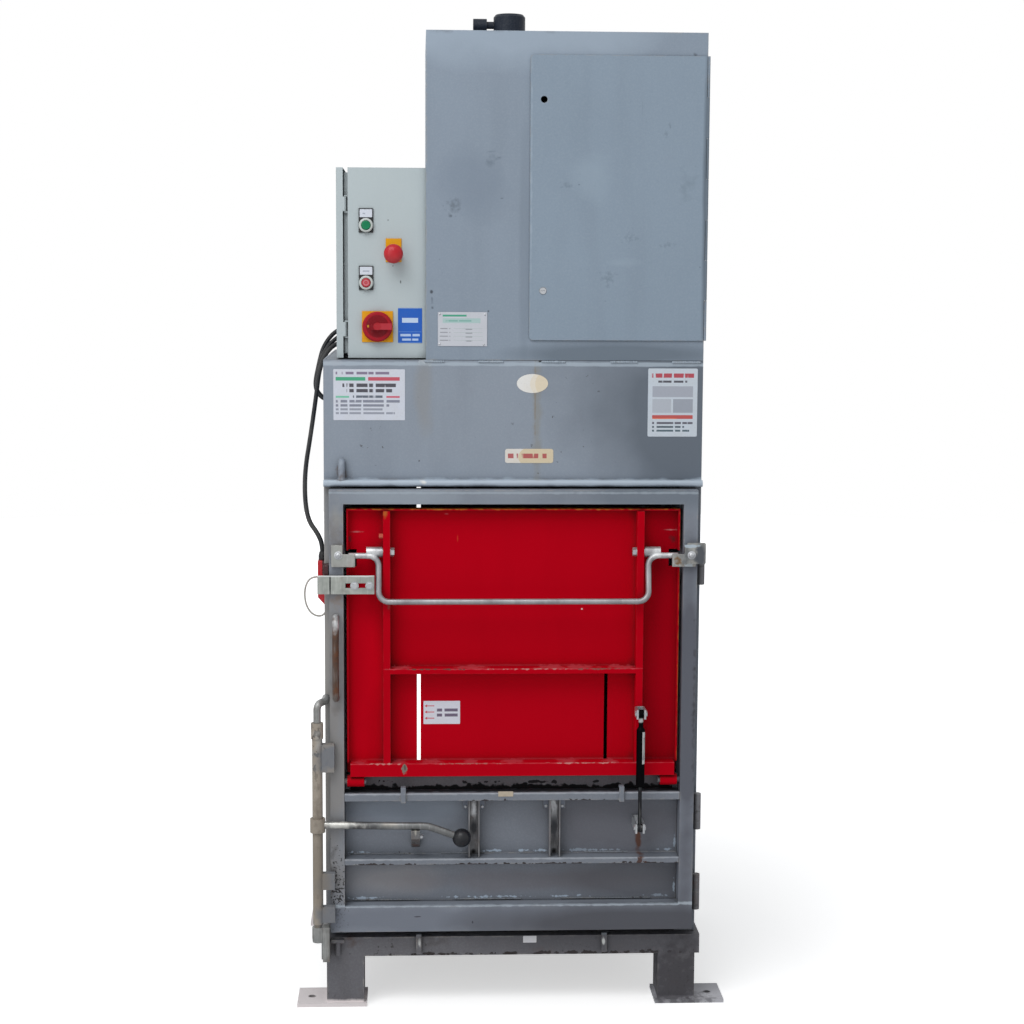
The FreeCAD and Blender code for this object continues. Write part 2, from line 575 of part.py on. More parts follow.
def platen():
    ys = ("face + plate + platen_gap", f"{BACK} - 2 * plate - platen_gap")
    high = "platen_low + platen_bar"
    bars = profile("XZ", channelled("platen_half", high, "platen_low", "plate"), *ys)
    top = box(("-platen_half", "platen_half"), ys, (high, f"{high} + platen_plate"))
    floor = f"{high} + platen_plate"
    ribs = []
    zs = (floor, f"{floor} + platen_rib_height")
    for side in (LEFT, RIGHT):
        line = f"{side} * platen_rib_at"
        ribs.append(box((f"{line} - platen_rib_half", f"{line} + platen_rib_half"), ys, zs))
        line = f"face + ram_y + {side} * platen_rib_at"
        ribs.append(box(("-platen_half", "platen_half"),
                        (f"{line} - platen_rib_half", f"{line} + platen_rib_half"), zs))
    seat = turned([(0, floor), ("clevis_radius + 15", floor), ("clevis_radius + 15", f"{floor} + 12"),
                   ("clevis_radius - 15", f"{floor} + 25"), (0, f"{floor} + 25")],
                  (0, "face + ram_y", 0))
    node(fuse(bars, top, seat, *ribs), "platen")


def power_pack():
    lid = "housing_top + tank_height"
    xs, ys = ("tank_left", "tank_right"), ("face + tank_front", "face + tank_back")
    tank = box(xs, ys, ("housing_top", lid))
    cover = box((f"{xs[0]} - lid_lap", f"{xs[1]} + lid_lap"),
                (f"{ys[0]} - lid_lap", f"{ys[1]} + lid_lap"), (lid, f"{lid} + tank_lid"))
    filler = turned([(0, lid), (16, lid), (16, f"{lid} + 22"), (22, f"{lid} + 22"),
                     (22, f"{lid} + 40"), (0, f"{lid} + 40")],
                    ("tank_right - 40", "face + tank_back - 45", "tank_lid"))
    node(fuse(tank, cover, filler), "oil_tank")

    floor = f"{lid} + tank_lid"
    at = ("motor_x", "face + motor_y", 0)
    body = turned([(0, floor), ("motor_radius", floor), ("motor_radius", f"{floor} + 8"),
                   ("bell_radius", f"{floor} + 8"), ("bell_radius", f"{floor} + bell_height - 8"),
                   ("motor_radius + fin_height", f"{floor} + bell_height - 8"),
                   ("motor_radius + fin_height", f"{floor} + bell_height + 8"),
                   ("motor_radius", f"{floor} + bell_height + 8"),
                   ("motor_radius", f"{floor} + bell_height + motor_height"),
                   ("motor_radius + fin_height", f"{floor} + bell_height + motor_height"),
                   ("motor_radius + fin_height",
                    f"{floor} + bell_height + motor_height + cowl_height - 10"),
                   ("motor_radius - 6", f"{floor} + bell_height + motor_height + cowl_height"),
                   (0, f"{floor} + bell_height + motor_height + cowl_height")], at)
    fins = [fin(turn * 360 / 20, floor) for turn in range(20)]
    terminals = box(("motor_x - 35", "motor_x + 35"),
                    ("face + motor_y - motor_radius - 40", "face + motor_y - motor_radius + 5"),
                    (f"{floor} + 150", f"{floor} + 220"))
    node(fuse(body, terminals, *fins), "pump_motor")

    xs = ("valve_left", "valve_left + valve_size")
    ys = ("face + valve_front", "face + valve_front + valve_size")
    block = box(xs, ys, (floor, f"{floor} + valve_height"))
    coil = rod("coil_radius", "coil_height",
               (f"{xs[0]} + valve_size / 2", f"{ys[0]} + valve_size / 2", f"{floor} + valve_height"))
    plug = box((f"{xs[0]} + 12", f"{xs[1]} - 12"), (f"{ys[0]} - 8", f"{ys[0]} + 20"),
               (f"{floor} + valve_height + 20", f"{floor} + valve_height + 48"))
    node(fuse(block, coil, plug), "valve_block")
    oil_pipes()


def fin(angle, floor):
    """One cooling fin of the motor, set round its body."""
    piece = box(("motor_radius - 2", "motor_radius + fin_height - 0.5"), ("-fin_half", "fin_half"),
                (f"{floor} + bell_height + 8", f"{floor} + bell_height + motor_height"))
    turn = FreeCAD.Rotation(FreeCAD.Vector(0, 0, 1), angle)
    piece.Placement = FreeCAD.Placement(FreeCAD.Vector(), turn)
    sine, cosine = math.sin(math.radians(angle)), math.cos(math.radians(angle))
    inner = "(motor_radius - 2)"
    place(piece, (f"motor_x + {inner} * {cosine:.6f} + fin_half * {sine:.6f}",
                  f"face + motor_y + {inner} * {sine:.6f} - fin_half * {cosine:.6f}",
                  f"{floor} + bell_height + 8"))
    return piece


def oil_pipes():
    """Two steel pipes from the valve to the ram, one of them over the roof through an elbow."""
    face, radius, bend = size("face"), size("pipe_radius"), size("pipe_bend")
    left = size("valve_left")
    block = size("housing_top") + size("tank_height") + size("tank_lid")
    ram_y = face + size("ram_y")
    near, far = face + size("valve_front") + 14, face + size("valve_front") + 36
    low, high = block + 17, block + 42
    port = size("low_port")
    drop_x, over = -size("fitting_drop_x"), size("fitting_height")
    first, _, _ = bent_bar([(left, near, low), (left - 45, near, low), (left - 45, near, port),
                            (left - 45, ram_y, port), (45, ram_y, port)], radius, bend)
    second, _, _ = bent_bar([(left, far, high), (drop_x, far, high), (drop_x, far, high + 280),
                             (drop_x, ram_y, high + 280), (drop_x, ram_y, over)], radius, bend)
    reach = "fitting_end - cap_radius"
    neck = rod("pipe_radius + 2", reach, ("-cap_radius", "face + ram_y", "fitting_height"), "-x")
    nut = rod("fitting_nut", "30", ("-fitting_end + 30", "face + ram_y", "fitting_height"), "-x")
    node(group(first, fuse(second, neck, nut)), "oil_pipes")


# ---------------------------------------------------------------- control box

BOX_FRONT = "face + box_behind"
BOX_REAR = "face + box_behind + box_width"


def operator_hole(x, z):
    return rod("hole_radius", "box_wall", (x, BOX_FRONT, z), "y")


def control_box():
    zs = ("box_low", "box_high")
    ys = (BOX_FRONT, BOX_REAR)
    inner_ys = (f"{ys[0]} + box_wall", f"{ys[1]} - box_wall")
    inner_zs = (f"{zs[0]} + box_wall", f"{zs[1]} - box_wall")
    shell = cut(box(("box_left", "cabinet_left"), ys, zs),
                box(("box_left", "cabinet_left - box_wall"), inner_ys, inner_zs))
    neck_ys = (f"{ys[0]} + neck_inset", f"{ys[1]} - neck_inset")
    neck_zs = (f"{zs[0]} + neck_inset", f"{zs[1]} - neck_inset")
    rim = box(("box_left", "box_left + box_wall"), ys, zs)
    collar = box(("box_left - neck", "box_left"), neck_ys, neck_zs)
    mouth = box(("box_left - neck", "box_left + box_wall"),
                (f"{neck_ys[0]} + box_wall", f"{neck_ys[1]} - box_wall"),
                (f"{neck_zs[0]} + box_wall", f"{neck_zs[1]} - box_wall"))
    holes = [operator_hole("button_x", "start_z"), operator_hole("button_x", "stop_z"),
             operator_hole("estop_x", "estop_z"), operator_hole("main_x", "main_z")]
    for i in range(3):
        holes.append(rod("cable_radius", "box_wall",
                         (f"gland_x + {i} * gland_step", f"{BOX_REAR} - box_wall", "gland_z"), "y"))
    pins = []
    hinge_y = f"{BOX_FRONT} + box_hinge_back"
    for z in ("knuckle_low", "knuckle_high"):
        pins.append(rod("knuckle_radius / 2", "knuckle_length + 6",
                        ("box_hinge_x", hinge_y, f"{z} - 3")))
        for end in (f"{z} - 3", f"{z} + knuckle_length + 0.5"):
            pins.append(box(("box_hinge_x - knuckle_radius / 2", "box_left"),
                            (f"{hinge_y} - knuckle_radius / 2", f"{hinge_y} + knuckle_radius / 2"),
                            (end, f"{end} + 2.5")))
    body = fuse(cut(fuse(shell, rim, collar), mouth, *holes), *pins)
    node(body, "enclosure_box")

    out = "box_door_out"
    pan_in = "box_door_out + box_door_thick"
    pan = cut(box((out, pan_in), ys, zs),
              box((f"{out} + box_wall", pan_in), inner_ys, inner_zs),
              rod("catch_radius + 0.3", "box_wall", (out, "face + box_catch_y", "box_catch_z"),
                  "x"))
    knuckles = []
    for z in ("knuckle_low", "knuckle_high"):
        zs_tube = (f"{z}", f"{z} + knuckle_length")
        arm = box((pan_in, "box_hinge_x"), (BOX_FRONT, f"{BOX_FRONT} + box_wall"), zs_tube)
        flag = box((f"{pan_in} - 4", pan_in), (BOX_FRONT, f"{BOX_FRONT} + box_wall + 3"), zs_tube)
        axis = ("box_hinge_x", hinge_y, z)
        tube = rod("knuckle_radius", "knuckle_length", axis)
        bore = rod("knuckle_radius / 2 + pin_play", "knuckle_length", axis)
        knuckles.append(cut(fuse(arm, flag, tube), bore))
    node(fuse(pan, *knuckles), "enclosure_door")
    at = (f"{out} - catch_head", "face + box_catch_y", "box_catch_z")
    head = rod("catch_radius", "box_wall + catch_head", at, "x")
    stem = rod("catch_stem", "box_door_thick", (out, at[1], at[2]), "x")
    cam = box((f"{out} + box_door_thick - box_wall", f"{out} + box_door_thick + 1"),
              (f"{at[1]} - catch_cam", f"{at[1]} + catch_cam"),
              (f"{at[2]} - catch_cam", f"{at[2]} + 4 * catch_cam"))
    slot = box((at[0], f"{out} + 0.5"), (f"{at[1]} - catch_slot", f"{at[1]} + catch_slot"),
               (f"{at[2]} - catch_radius + 2.5", f"{at[2]} + catch_radius - 2.5"))
    node(cut(fuse(head, stem, cam), slot), "enclosure_catch")

    back = "cabinet_left - box_wall"
    inset = "contactor_inset"
    plate = box((f"{back} - box_wall", back), (f"{BOX_FRONT} + {inset}", f"{BOX_REAR} - {inset}"),
                (f"box_low + {inset}", f"box_high - {inset}"))
    blocks = []
    # two contactors, a relay and a transformer over a row of terminals: place and size in units
    for y, z, wide, tall, deep in ((1.9, 2.5, 1, 1, 1.5), (3.1, 2.5, 1, 1, 1.5),
                                   (4.4, 2.7, 0.8, 0.7, 1.2), (1.9, 1.2, 1.1, 0.8, 1.3),
                                   (1.7, 0, 3.6, 0.53, 0.9)):
        blocks.append(box((f"{back} - box_wall - {deep} * contactor_size", f"{back} - box_wall"),
                          (f"{BOX_FRONT} + {y} * contactor_size",
                           f"{BOX_FRONT} + {y + wide} * contactor_size"),
                          (f"contactor_z + {z} * contactor_tall",
                           f"contactor_z + {z + tall} * contactor_tall")))
    node(fuse(plate, *blocks), "contactor_plate")


def operators():
    """Push buttons, stop mushroom and main switch in the box's front wall."""
    wall = BOX_FRONT
    bodies, bezels = [], []
    for name, x, z in (("start_cap", "button_x", "start_z"), ("stop_cap", "button_x", "stop_z")):
        carrier = box((f"{x} - carrier_half", f"{x} + carrier_half"),
                      (f"{wall} - carrier_thick", wall),
                      (f"{z} - carrier_half", f"{z} - carrier_half + carrier_height"))
        bodies.append(contact_body(x, z, carrier, "carrier_thick"))
        at = (x, f"{wall} - carrier_thick", z)
        bezels.append(turned([("cap_out_radius + 0.5", 0), ("bezel_radius", 0),
                              ("bezel_radius", "bezel_depth - 2"), ("bezel_radius - 2", "bezel_depth"),
                              ("cap_out_radius + 0.5", "bezel_depth")], at, "-y"))
        node(turned([(0, "-button_travel - 26"), ("stem_radius", "-button_travel - 26"),
                     ("stem_radius", 0), ("cap_out_radius", 0),
                     ("cap_out_radius", "bezel_depth + 1"), ("cap_out_radius - 1", "bezel_depth + 2"),
                     (0, "bezel_depth + 2")], at, "-y"), name)
    front = f"{wall} - label_thick"
    label = box(("estop_x - label_half", "estop_x + label_half"), (front, wall),
                ("estop_z - label_drop", "estop_z - label_drop + label_height"))
    label = cut(label, rod("hole_radius", "label_thick", ("estop_x", front, "estop_z"), "y"))
    at = ("estop_x", front, "estop_z")
    bodies.append(contact_body("estop_x", "estop_z", None, "label_thick"))
    bezels.append(turned([("cap_out_radius", 0), ("bezel_radius", 0), ("bezel_radius", 8),
                          ("bezel_radius - 2", 10), ("cap_out_radius", 10)], at, "-y"))
    node(turned([(0, "-button_travel - 26"), ("stem_radius", "-button_travel - 26"),
                 ("stem_radius", 0), ("cap_out_radius - 0.5", 0), ("cap_out_radius - 0.5", 20),
                 ("estop_radius - 3", 24), ("estop_radius", 29), ("estop_radius", 36),
                 ("estop_radius - 3", 41), ("estop_radius - 9", 45), (0, 47)], at, "-y"), "estop_head")

    yellow = box(("main_x - main_plate_half", "main_x + main_plate_half"), (front, wall),
                 ("main_z - main_plate_half", "main_z + main_plate_half"))
    yellow = cut(yellow, rod("hole_radius", "label_thick", ("main_x", front, "main_z"), "y"))
    node(group(label, yellow), "yellow_plates")
    bodies.append(contact_body("main_x", "main_z", None, "label_thick"))
    at = ("main_x", front, "main_z")
    dial = turned([(0, -28), ("stem_radius", -28), ("stem_radius", 0.3), ("dial_radius", 0.3),
                   ("dial_radius", "dial_depth - 4"), ("dial_radius - 3", "dial_depth"),
                   (0, "dial_depth")], at, "-y")
    grip = box(("main_x - grip_out", "main_x + dial_radius - 1"),
               (f"{front} - dial_depth - grip_out", f"{front} - dial_depth + label_thick"),
               ("main_z - grip_half", "main_z + grip_half"))
    inner = size("main_x") - size("grip_out")
    grip = rounded(grip, "hinge_tube", "y", lambda p: abs(p.x - inner) < 0.01)
    node(fuse(dial, grip), "switch_handle")
    node(group(*bodies), "switch_bodies")
    node(group(*bezels), "button_bezels")


def contact_body(x, z, carrier, ahead):
    """The black body of an operator, from its front carrier to the contact block inside."""
    wall = BOX_FRONT
    at = (x, f"{wall} - {ahead}", z)
    thread = rod("thread_radius", f"thread_length + {ahead}", at, "y")
    block = box((f"{x} - carrier_half", f"{x} + carrier_half"),
                (f"{wall} + block_front", f"{wall} + block_back"),
                (f"{z} - block_half", f"{z} + block_half"))
    parts = [thread, block] + ([carrier] if carrier else [])
    return cut(fuse(*parts),
               rod("stem_bore", f"block_back - block_half + {ahead}", at, "y"),
               rod("cap_out_radius + 0.5", "button_travel + 1.5", at, "y"))


# ---------------------------------------------------------------- cables and safety switch

def cables():
    face = size("face")
    glands = []
    for i in range(3):
        glands.append(turned([(0, 0), (10, 0), (10, 10), (8, 12), (8, 20),
                              ("cable_radius + 0.8", "gland_length"), (0, "gland_length")],
                             (f"gland_x + {i} * gland_step", BOX_REAR, "gland_z"), "y"))
    bore = "cable_radius + 0.3"
    glands.append(turned([(bore, 0), (9, 0), (9, 10), ("cable_radius + 2", 18), (bore, 18)],
                         ("switch_gland_x", "face + switch_gland_y", "switch_high")))
    bore = "cable_radius + 1"
    for y in GROMMETS:
        glands.append(turned([(bore, 0), (12, 0), (12, 2), (10, "grommet_thick"),
                              (bore, "grommet_thick")], ("-body_half", y, "grommet_z"), "-x"))
    node(group(*glands), "cable_glands")

    start = size("box_behind") + size("box_width") + size("gland_length")
    first, step, z = size("gland_x"), size("gland_step"), size("gland_z")
    entry_x, entry_y, top = size("switch_gland_x"), size("switch_gland_y"), size("switch_high")
    wall = -size("body_half")
    to_switch = [(first, start, z), (first, start + 58, z), (wall + 40, start + 100, z - 10),
                 (wall, start + 94, z - 22), (wall - 25, start + 50, z - 62),
                 (wall - 32, start - 20, z - 140), (wall - 41, start - 95, z - 222),
                 (wall - 48, start - 175, z - 282), (wall - 46, start - 240, z - 340),
                 (wall - 36, start - 286, z - 384), (entry_x - 11, entry_y + 8, top + 56),
                 (entry_x, entry_y, top + 32), (entry_x, entry_y, top)]
    side, low = size("grommet_y"), size("grommet_z")
    into = wall + 12
    to_side = [(first + step, start, z), (first + step, start + 60, z),
               (wall + 58, start + 116, z + 14), (wall + 4, start + 118, z - 6),
               (wall - 26, start + 88, z - 52), (wall - 36, side + 22, low + 50),
               (wall - 36, side + 8, low + 27), (wall - 26, side + 1, low + 10),
               (into - 21, side, low), (into, side, low)]
    rear = side + step - 1
    to_rear = [(first + 2 * step, start, z), (first + 2 * step, start + 62, z),
               (wall + 78, start + 126, z + 26), (wall + 12, start + 140, z + 16),
               (wall - 20, start + 126, z - 22), (wall - 31, start + 107, z - 65),
               (wall - 37, rear + 21, low + 44), (wall - 37, rear + 8, low + 27),
               (wall - 27, rear + 1, low + 10), (into - 21, rear, low), (into, rear, low)]
    routes = {"cable_switch": to_switch, "cable_side": to_side, "cable_rear": to_rear}
    for name, route in routes.items():
        tube, radii, length = bent_bar([(x, face + y, height) for x, y, height in route],
                                       size("cable_radius"))
        node(tube, name)
        print(name, "length", round(length), "radii", [round(r) for r in radii])

    left, right = "switch_left", "switch_right"
    housing_low = "switch_low"
    red = profile("XZ", [(left, "switch_high"), (right, "switch_high"), (right, housing_low),
                         (f"{left} + 16", housing_low), (left, f"{housing_low} + 18")],
                  "face + plate", "face + plate + switch_depth")
    head = box(("-body_half", "-door_half - 1.5"), ("face - switch_depth - 4", "face"),
               ("switch_high - 33", "switch_high - 4"))
    node(group(red, head), "safety_switch")
    edge, low = size("switch_left"), size("switch_low")
    y, z = face + size("tether_y"), size("tether_z")
    loop = [(edge, y, z), (edge - 15, y, z), (edge - 27, y - 2, z - 18), (edge - 29, y - 4, z - 42),
            (edge - 24, y - 6, low - 4), (edge - 12, y - 7, low - 20), (edge + 6, y - 6, low - 25),
            (edge + 18, y - 4, low - 14), (edge + 18, y - 4, low)]
    tube, radii, length = bent_bar(loop, size("tether_radius"))
    node(tube, "tether_loop")
    print("tether_loop length", round(length), "radii", [round(r) for r in radii])


# ---------------------------------------------------------------- bale door

def door():
    ys = ("face - door_front", "face - door_gap")
    zs = ("door_low", "door_high")
    inner = "door_half - stile"
    inner_zs = ("door_low + bottom_rail", "door_high - stile")
    frame = cut(ring("door_half", *ys, zs), ring(inner, *ys, inner_zs))
    groove_ys = (f"{ys[0]} + door_wall", ys[1])
    groove = cut(ring("door_half - door_wall", *groove_ys,
                      (f"{zs[0]} + door_wall", f"{zs[1]} - door_wall")),
                 ring(f"{inner} + door_wall", *groove_ys,
                      (f"{inner_zs[0]} - door_wall", f"{inner_zs[1]} + door_wall")))
    pins = [rod("flap_pin", "door_half - stile - lug_in + 4",
                (f"{side} * (door_half - stile)", "face - flap_hinge_y", "flap_hinge_z"),
                "x" if side < 0 else "-x") for side in (LEFT, RIGHT)]
    node(fuse(cut(frame, groove), *pins), "door_frame")

    xs = (f"-({inner})", inner)
    panel_ys = ("face - panel_front", "face - door_gap - 1")
    panel = box(xs, panel_ys, (inner_zs[0], "panel_high"))
    depth = (ys[0], panel_ys[0])
    parts = [panel]
    for z, tall in (("rib_top_z", "rib_top_height"), ("rib_mid_z", "rib_mid_height")):
        parts.append(box(xs, depth, (z, f"{z} + {tall}")))
    for side in (LEFT, RIGHT):
        middle = f"{side} * door_hook_at"
        hook_xs = (f"{middle} - door_hook_half", f"{middle} + door_hook_half")
        parts.append(box(hook_xs, (f"{ys[0]} - 6", ys[0]), ("rib_top_z - 3", "rib_top_z + 31")))
        parts.append(box(hook_xs, (ys[0], f"{ys[0]} + 12"), ("rib_top_z + 25", "rib_top_z + 31")))
    node(fuse(*parts), "door_panel")
    node(box((f"-({inner}) + sill_gap", f"{inner} - sill_gap"),
             (f"{panel_ys[0]} - sill_thick", panel_ys[0]),
             ("rib_top_z + rib_top_height", "panel_high + 2")), "sill_strip")

    guides = []
    for side in (LEFT, RIGHT):
        middle = f"{side} * guide_at + guide_shift"
        front = "face - guide_front"
        gap = ("guide_low", "guide_high")
        outer = box((f"{middle} - guide_half", f"{middle} + guide_half"), (front, panel_ys[0]), gap)
        slot = box((f"{middle} - guide_half + guide_wall", f"{middle} + guide_half - guide_wall"),
                   (front, f"{panel_ys[0]} - guide_wall"), gap)
        ears = cut(box((f"{middle} - guide_half - 12", f"{middle} + guide_half + 12"),
                       (f"{panel_ys[0]} - guide_wall", panel_ys[0]),
                       ("guide_high - 26", "guide_high - 4")), slot)
        guides.append(fuse(cut(outer, slot), ears))
    node(group(*guides), "strap_guides")

    face, out = size("face"), size("pull_out")
    front = face - size("door_front")
    x = size("pull_x")
    low, high = size("pull_low") + size("pull_radius"), size("pull_high") - size("pull_radius")
    pull, _, _ = bent_bar([(x, front, low), (x, front - out, low), (x, front - out, high),
                           (x, front, high)], size("pull_radius"), 2 * size("pull_radius"))
    node(pull, "door_pull")

    under = "lever_z - lever_play - lever_radius"
    rest = profile("YZ", [("face - panel_front", f"{under} - 53"),
                          ("face - panel_front", f"{under} - 26"),
                          ("face - lock_y + 14", f"{under} - 10"), ("face - lock_y + 9", under),
                          ("face - lock_y - 9", under), ("face - lock_y - 9", f"{under} - 18"),
                          ("face - lock_y + 16", f"{under} - 26")],
                   "rest_x - rest_half", "rest_x + rest_half")
    node(rest, "lever_rest")


def hinges():
    """Three weld-on hinges: the lower half with its pin stays on the body."""
    posts, sleeves = [], []
    for z in ("hinge_low_z", "hinge_mid_z", "hinge_top_z"):
        axis = ("hinge_x", "face - hinge_y")
        post = rod("hinge_radius", "knuckle", (*axis, z))
        pin = rod("hinge_pin", "2 * knuckle", (*axis, z))
        leaf = box(("hinge_x - 3", "hinge_x + 1"), ("face - hinge_y", "face"), (z, f"{z} + knuckle"))
        posts.append(fuse(post, pin, leaf))
        start = f"{z} + knuckle + 0.5"
        sleeve = rod("hinge_radius", "knuckle", (*axis, start))
        wing = box(("door_half", "hinge_x"), ("face - hinge_y - 3", "face - hinge_y + 3"),
                   (start, f"{start} + knuckle"))
        sleeves.append(cut(fuse(sleeve, wing), rod("hinge_pin + pin_play", "knuckle", (*axis, start))))
    node(group(*posts), "hinge_posts")
    node(group(*sleeves), "hinge_sleeves")


def keepers():
    """Stepped plates on the stiles, behind whose low part the flap's latch pins are held."""
    pair = []
    for side in (LEFT, RIGHT):
        foot_ys = ("face - keeper_front", "face - door_front")
        edge = "door_half - stile + 1"
        block = box(mirrored(side, edge, "keeper_out"), foot_ys, ("keeper_low", "keeper_high"))
        tongue = box(mirrored(side, "keeper_in", edge),
                     ("face - keeper_front", "face - keeper_front + keeper_plate"),
                     ("keeper_low", "keeper_step"))
        pair.append(fuse(block, tongue))
    node(group(*pair), "flap_keepers")


# ---------------------------------------------------------------- loading flap

def flap():
    ys = ("face - flap_front", "face - flap_front + plate")
    zs = ("flap_low", "flap_high")
    sheet_plate = box(("-flap_half", "flap_half"), ys, zs)
    rim_ys = ("face - flap_front - flap_rim", ys[0])
    rims = [box(mirrored(side, "flap_half - plate", "flap_half"), rim_ys, ("flap_bar_high", zs[1]))
            for side in (LEFT, RIGHT)]
    rims.append(box(("-flap_half", "flap_half"), rim_ys, ("flap_high - plate", "flap_high")))
    slots = [box((f"{side} * strap_outer - slot_half", f"{side} * strap_outer + slot_half"), ys,
                 ("slot_low", "slot_high")) for side in (LEFT, RIGHT)]
    holes = [rod("screw_radius + 0.3", "plate", (x, ys[0], "screw_z"), "y")
             for x in ("screw_near", "screw_far")]
    # the keepers' tongues pass through these two notches when the flap swings out
    notches = [box(mirrored(side, "keeper_in - keeper_play", "flap_half"), (rim_ys[0], ys[1]),
                   ("keeper_low - notch_play", "keeper_step + notch_play"))
               for side in (LEFT, RIGHT)]
    node(cut(fuse(sheet_plate, *rims), *slots, *holes, *notches), "flap_panel")

    depth = ("face - door_front", ys[0])
    parts = []
    for side in (LEFT, RIGHT):
        rib = box(mirrored(side, "flap_rib_in", "flap_rib_out"), depth,
                  ("flap_bar_high", "flap_high - plate"))
        hole = rod("bolt_radius + pin_play", "flap_rib_out - flap_rib_in",
                   (f"{side} * flap_rib_in", "face - handle_y", "handle_z"), "x" if side > 0 else "-x")
        parts.append(cut(rib, hole))
        axis = (f"{side} * lug_in", "face - flap_hinge_y", "flap_hinge_z")
        way = "x" if side > 0 else "-x"
        barrel = rod("lug_radius", "flap_half - lug_in", axis, way)
        web = box(mirrored(side, "lug_in", "flap_half"),
                  ("face - flap_hinge_y - lug_web", "face - flap_hinge_y + lug_web"),
                  ("flap_hinge_z", "flap_bar_low"))
        bore = rod("flap_pin + pin_play", "flap_half - lug_in", axis, way)
        parts.append(cut(fuse(barrel, web), bore))
    parts.append(box(("-flap_rib_in", "flap_rib_in"), depth, ("flap_cross_low", "flap_cross_high")))
    parts.append(box(("-flap_half + 7", "flap_half - 7"), depth, ("flap_bar_low", "flap_bar_high")))
    node(fuse(*parts), "flap_frame")


def handle():
    """U-shaped handle whose turned-out ends are the latch pins, on bolts through the flap's ribs."""
    y, z = size("face") - size("handle_y"), size("handle_z")
    pin_y, pin_z = y - size("latch_offset"), z - size("latch_offset")
    x, tip = size("handle_x"), size("latch_out")
    out, low = size("face") - size("handle_out"), size("handle_low")
    bar, _, _ = bent_bar([(-tip, pin_y, pin_z), (-x, pin_y, pin_z), (-x, out, low),
                          (x, out, low), (x, pin_y, pin_z), (tip, pin_y, pin_z)],
                         size("handle_bar"), size("handle_bend"))
    parts, bolts, bores = [bar], [], []
    for side in (LEFT, RIGHT):
        way = "x" if side > 0 else "-x"
        axis = ("face - handle_y", "handle_z")
        parts.append(rod("hub_radius", "hub_out - hub_in", (f"{side} * hub_in", *axis), way))
        bores.append(rod("bolt_radius + pin_play", "hub_out - hub_in + keeper_play + 1",
                         (f"{side} * (hub_in - 1)", *axis), way))
        shank = rod("bolt_radius", "hub_out - flap_rib_in + bolt_head + keeper_play",
                    (f"{side} * (flap_rib_in - bolt_head - keeper_play)", *axis), way)
        nut = rod("bolt_head", "bolt_head - 1", (f"{side} * (flap_rib_in - bolt_head + 1)", *axis),
                  way)
        collar = rod("bolt_head - 1", "hub_in - flap_rib_out - 0.5",
                     (f"{side} * flap_rib_out", *axis), way)
        bolts.append(fuse(shank, nut, collar))
    node(cut(fuse(*parts), *bores), "flap_handle")
    node(group(*bolts), "handle_bolts")


def interlock():
    """Bracket on the flap that reaches past the body's edge and works the safety switch."""
    front = ("face - bracket_front", "face - bracket_front + bracket_plate")
    plate = box(("bracket_left", "bracket_right"), front, ("bracket_low", "bracket_high"))
    tongue = box(("bracket_left", "bracket_left + tongue"), (front[1], "face + plate - 1"),
                 ("screw_z - 8", "screw_z + 8"))
    slot = box(("screw_far - 19", "screw_near - 8"), front, ("screw_z - 5", "screw_z + 5"))
    holes = [rod("screw_radius + 0.3", "bracket_plate", (x, front[0], "screw_z"), "y")
             for x in ("screw_near", "screw_far")]
    node(cut(fuse(plate, tongue), slot, *holes), "interlock_bracket")
    screws = []
    for x in ("screw_near", "screw_far"):
        shank = rod("screw_radius", "bracket_front - flap_front + plate + 10",
                    (x, front[0], "screw_z"), "y")
        head = rod("spacer_radius + 1", "6", (x, f"{front[0]} - 6", "screw_z"), "y")
        nut = rod("spacer_radius - 1.5", "6", (x, "face - flap_front + plate", "screw_z"), "y")
        spacer = rod("spacer_radius", "bracket_front - bracket_plate - flap_front",
                     (x, front[1], "screw_z"), "y")
        screws.append(fuse(head, shank, nut, spacer))
    node(group(*screws), "bracket_screws")


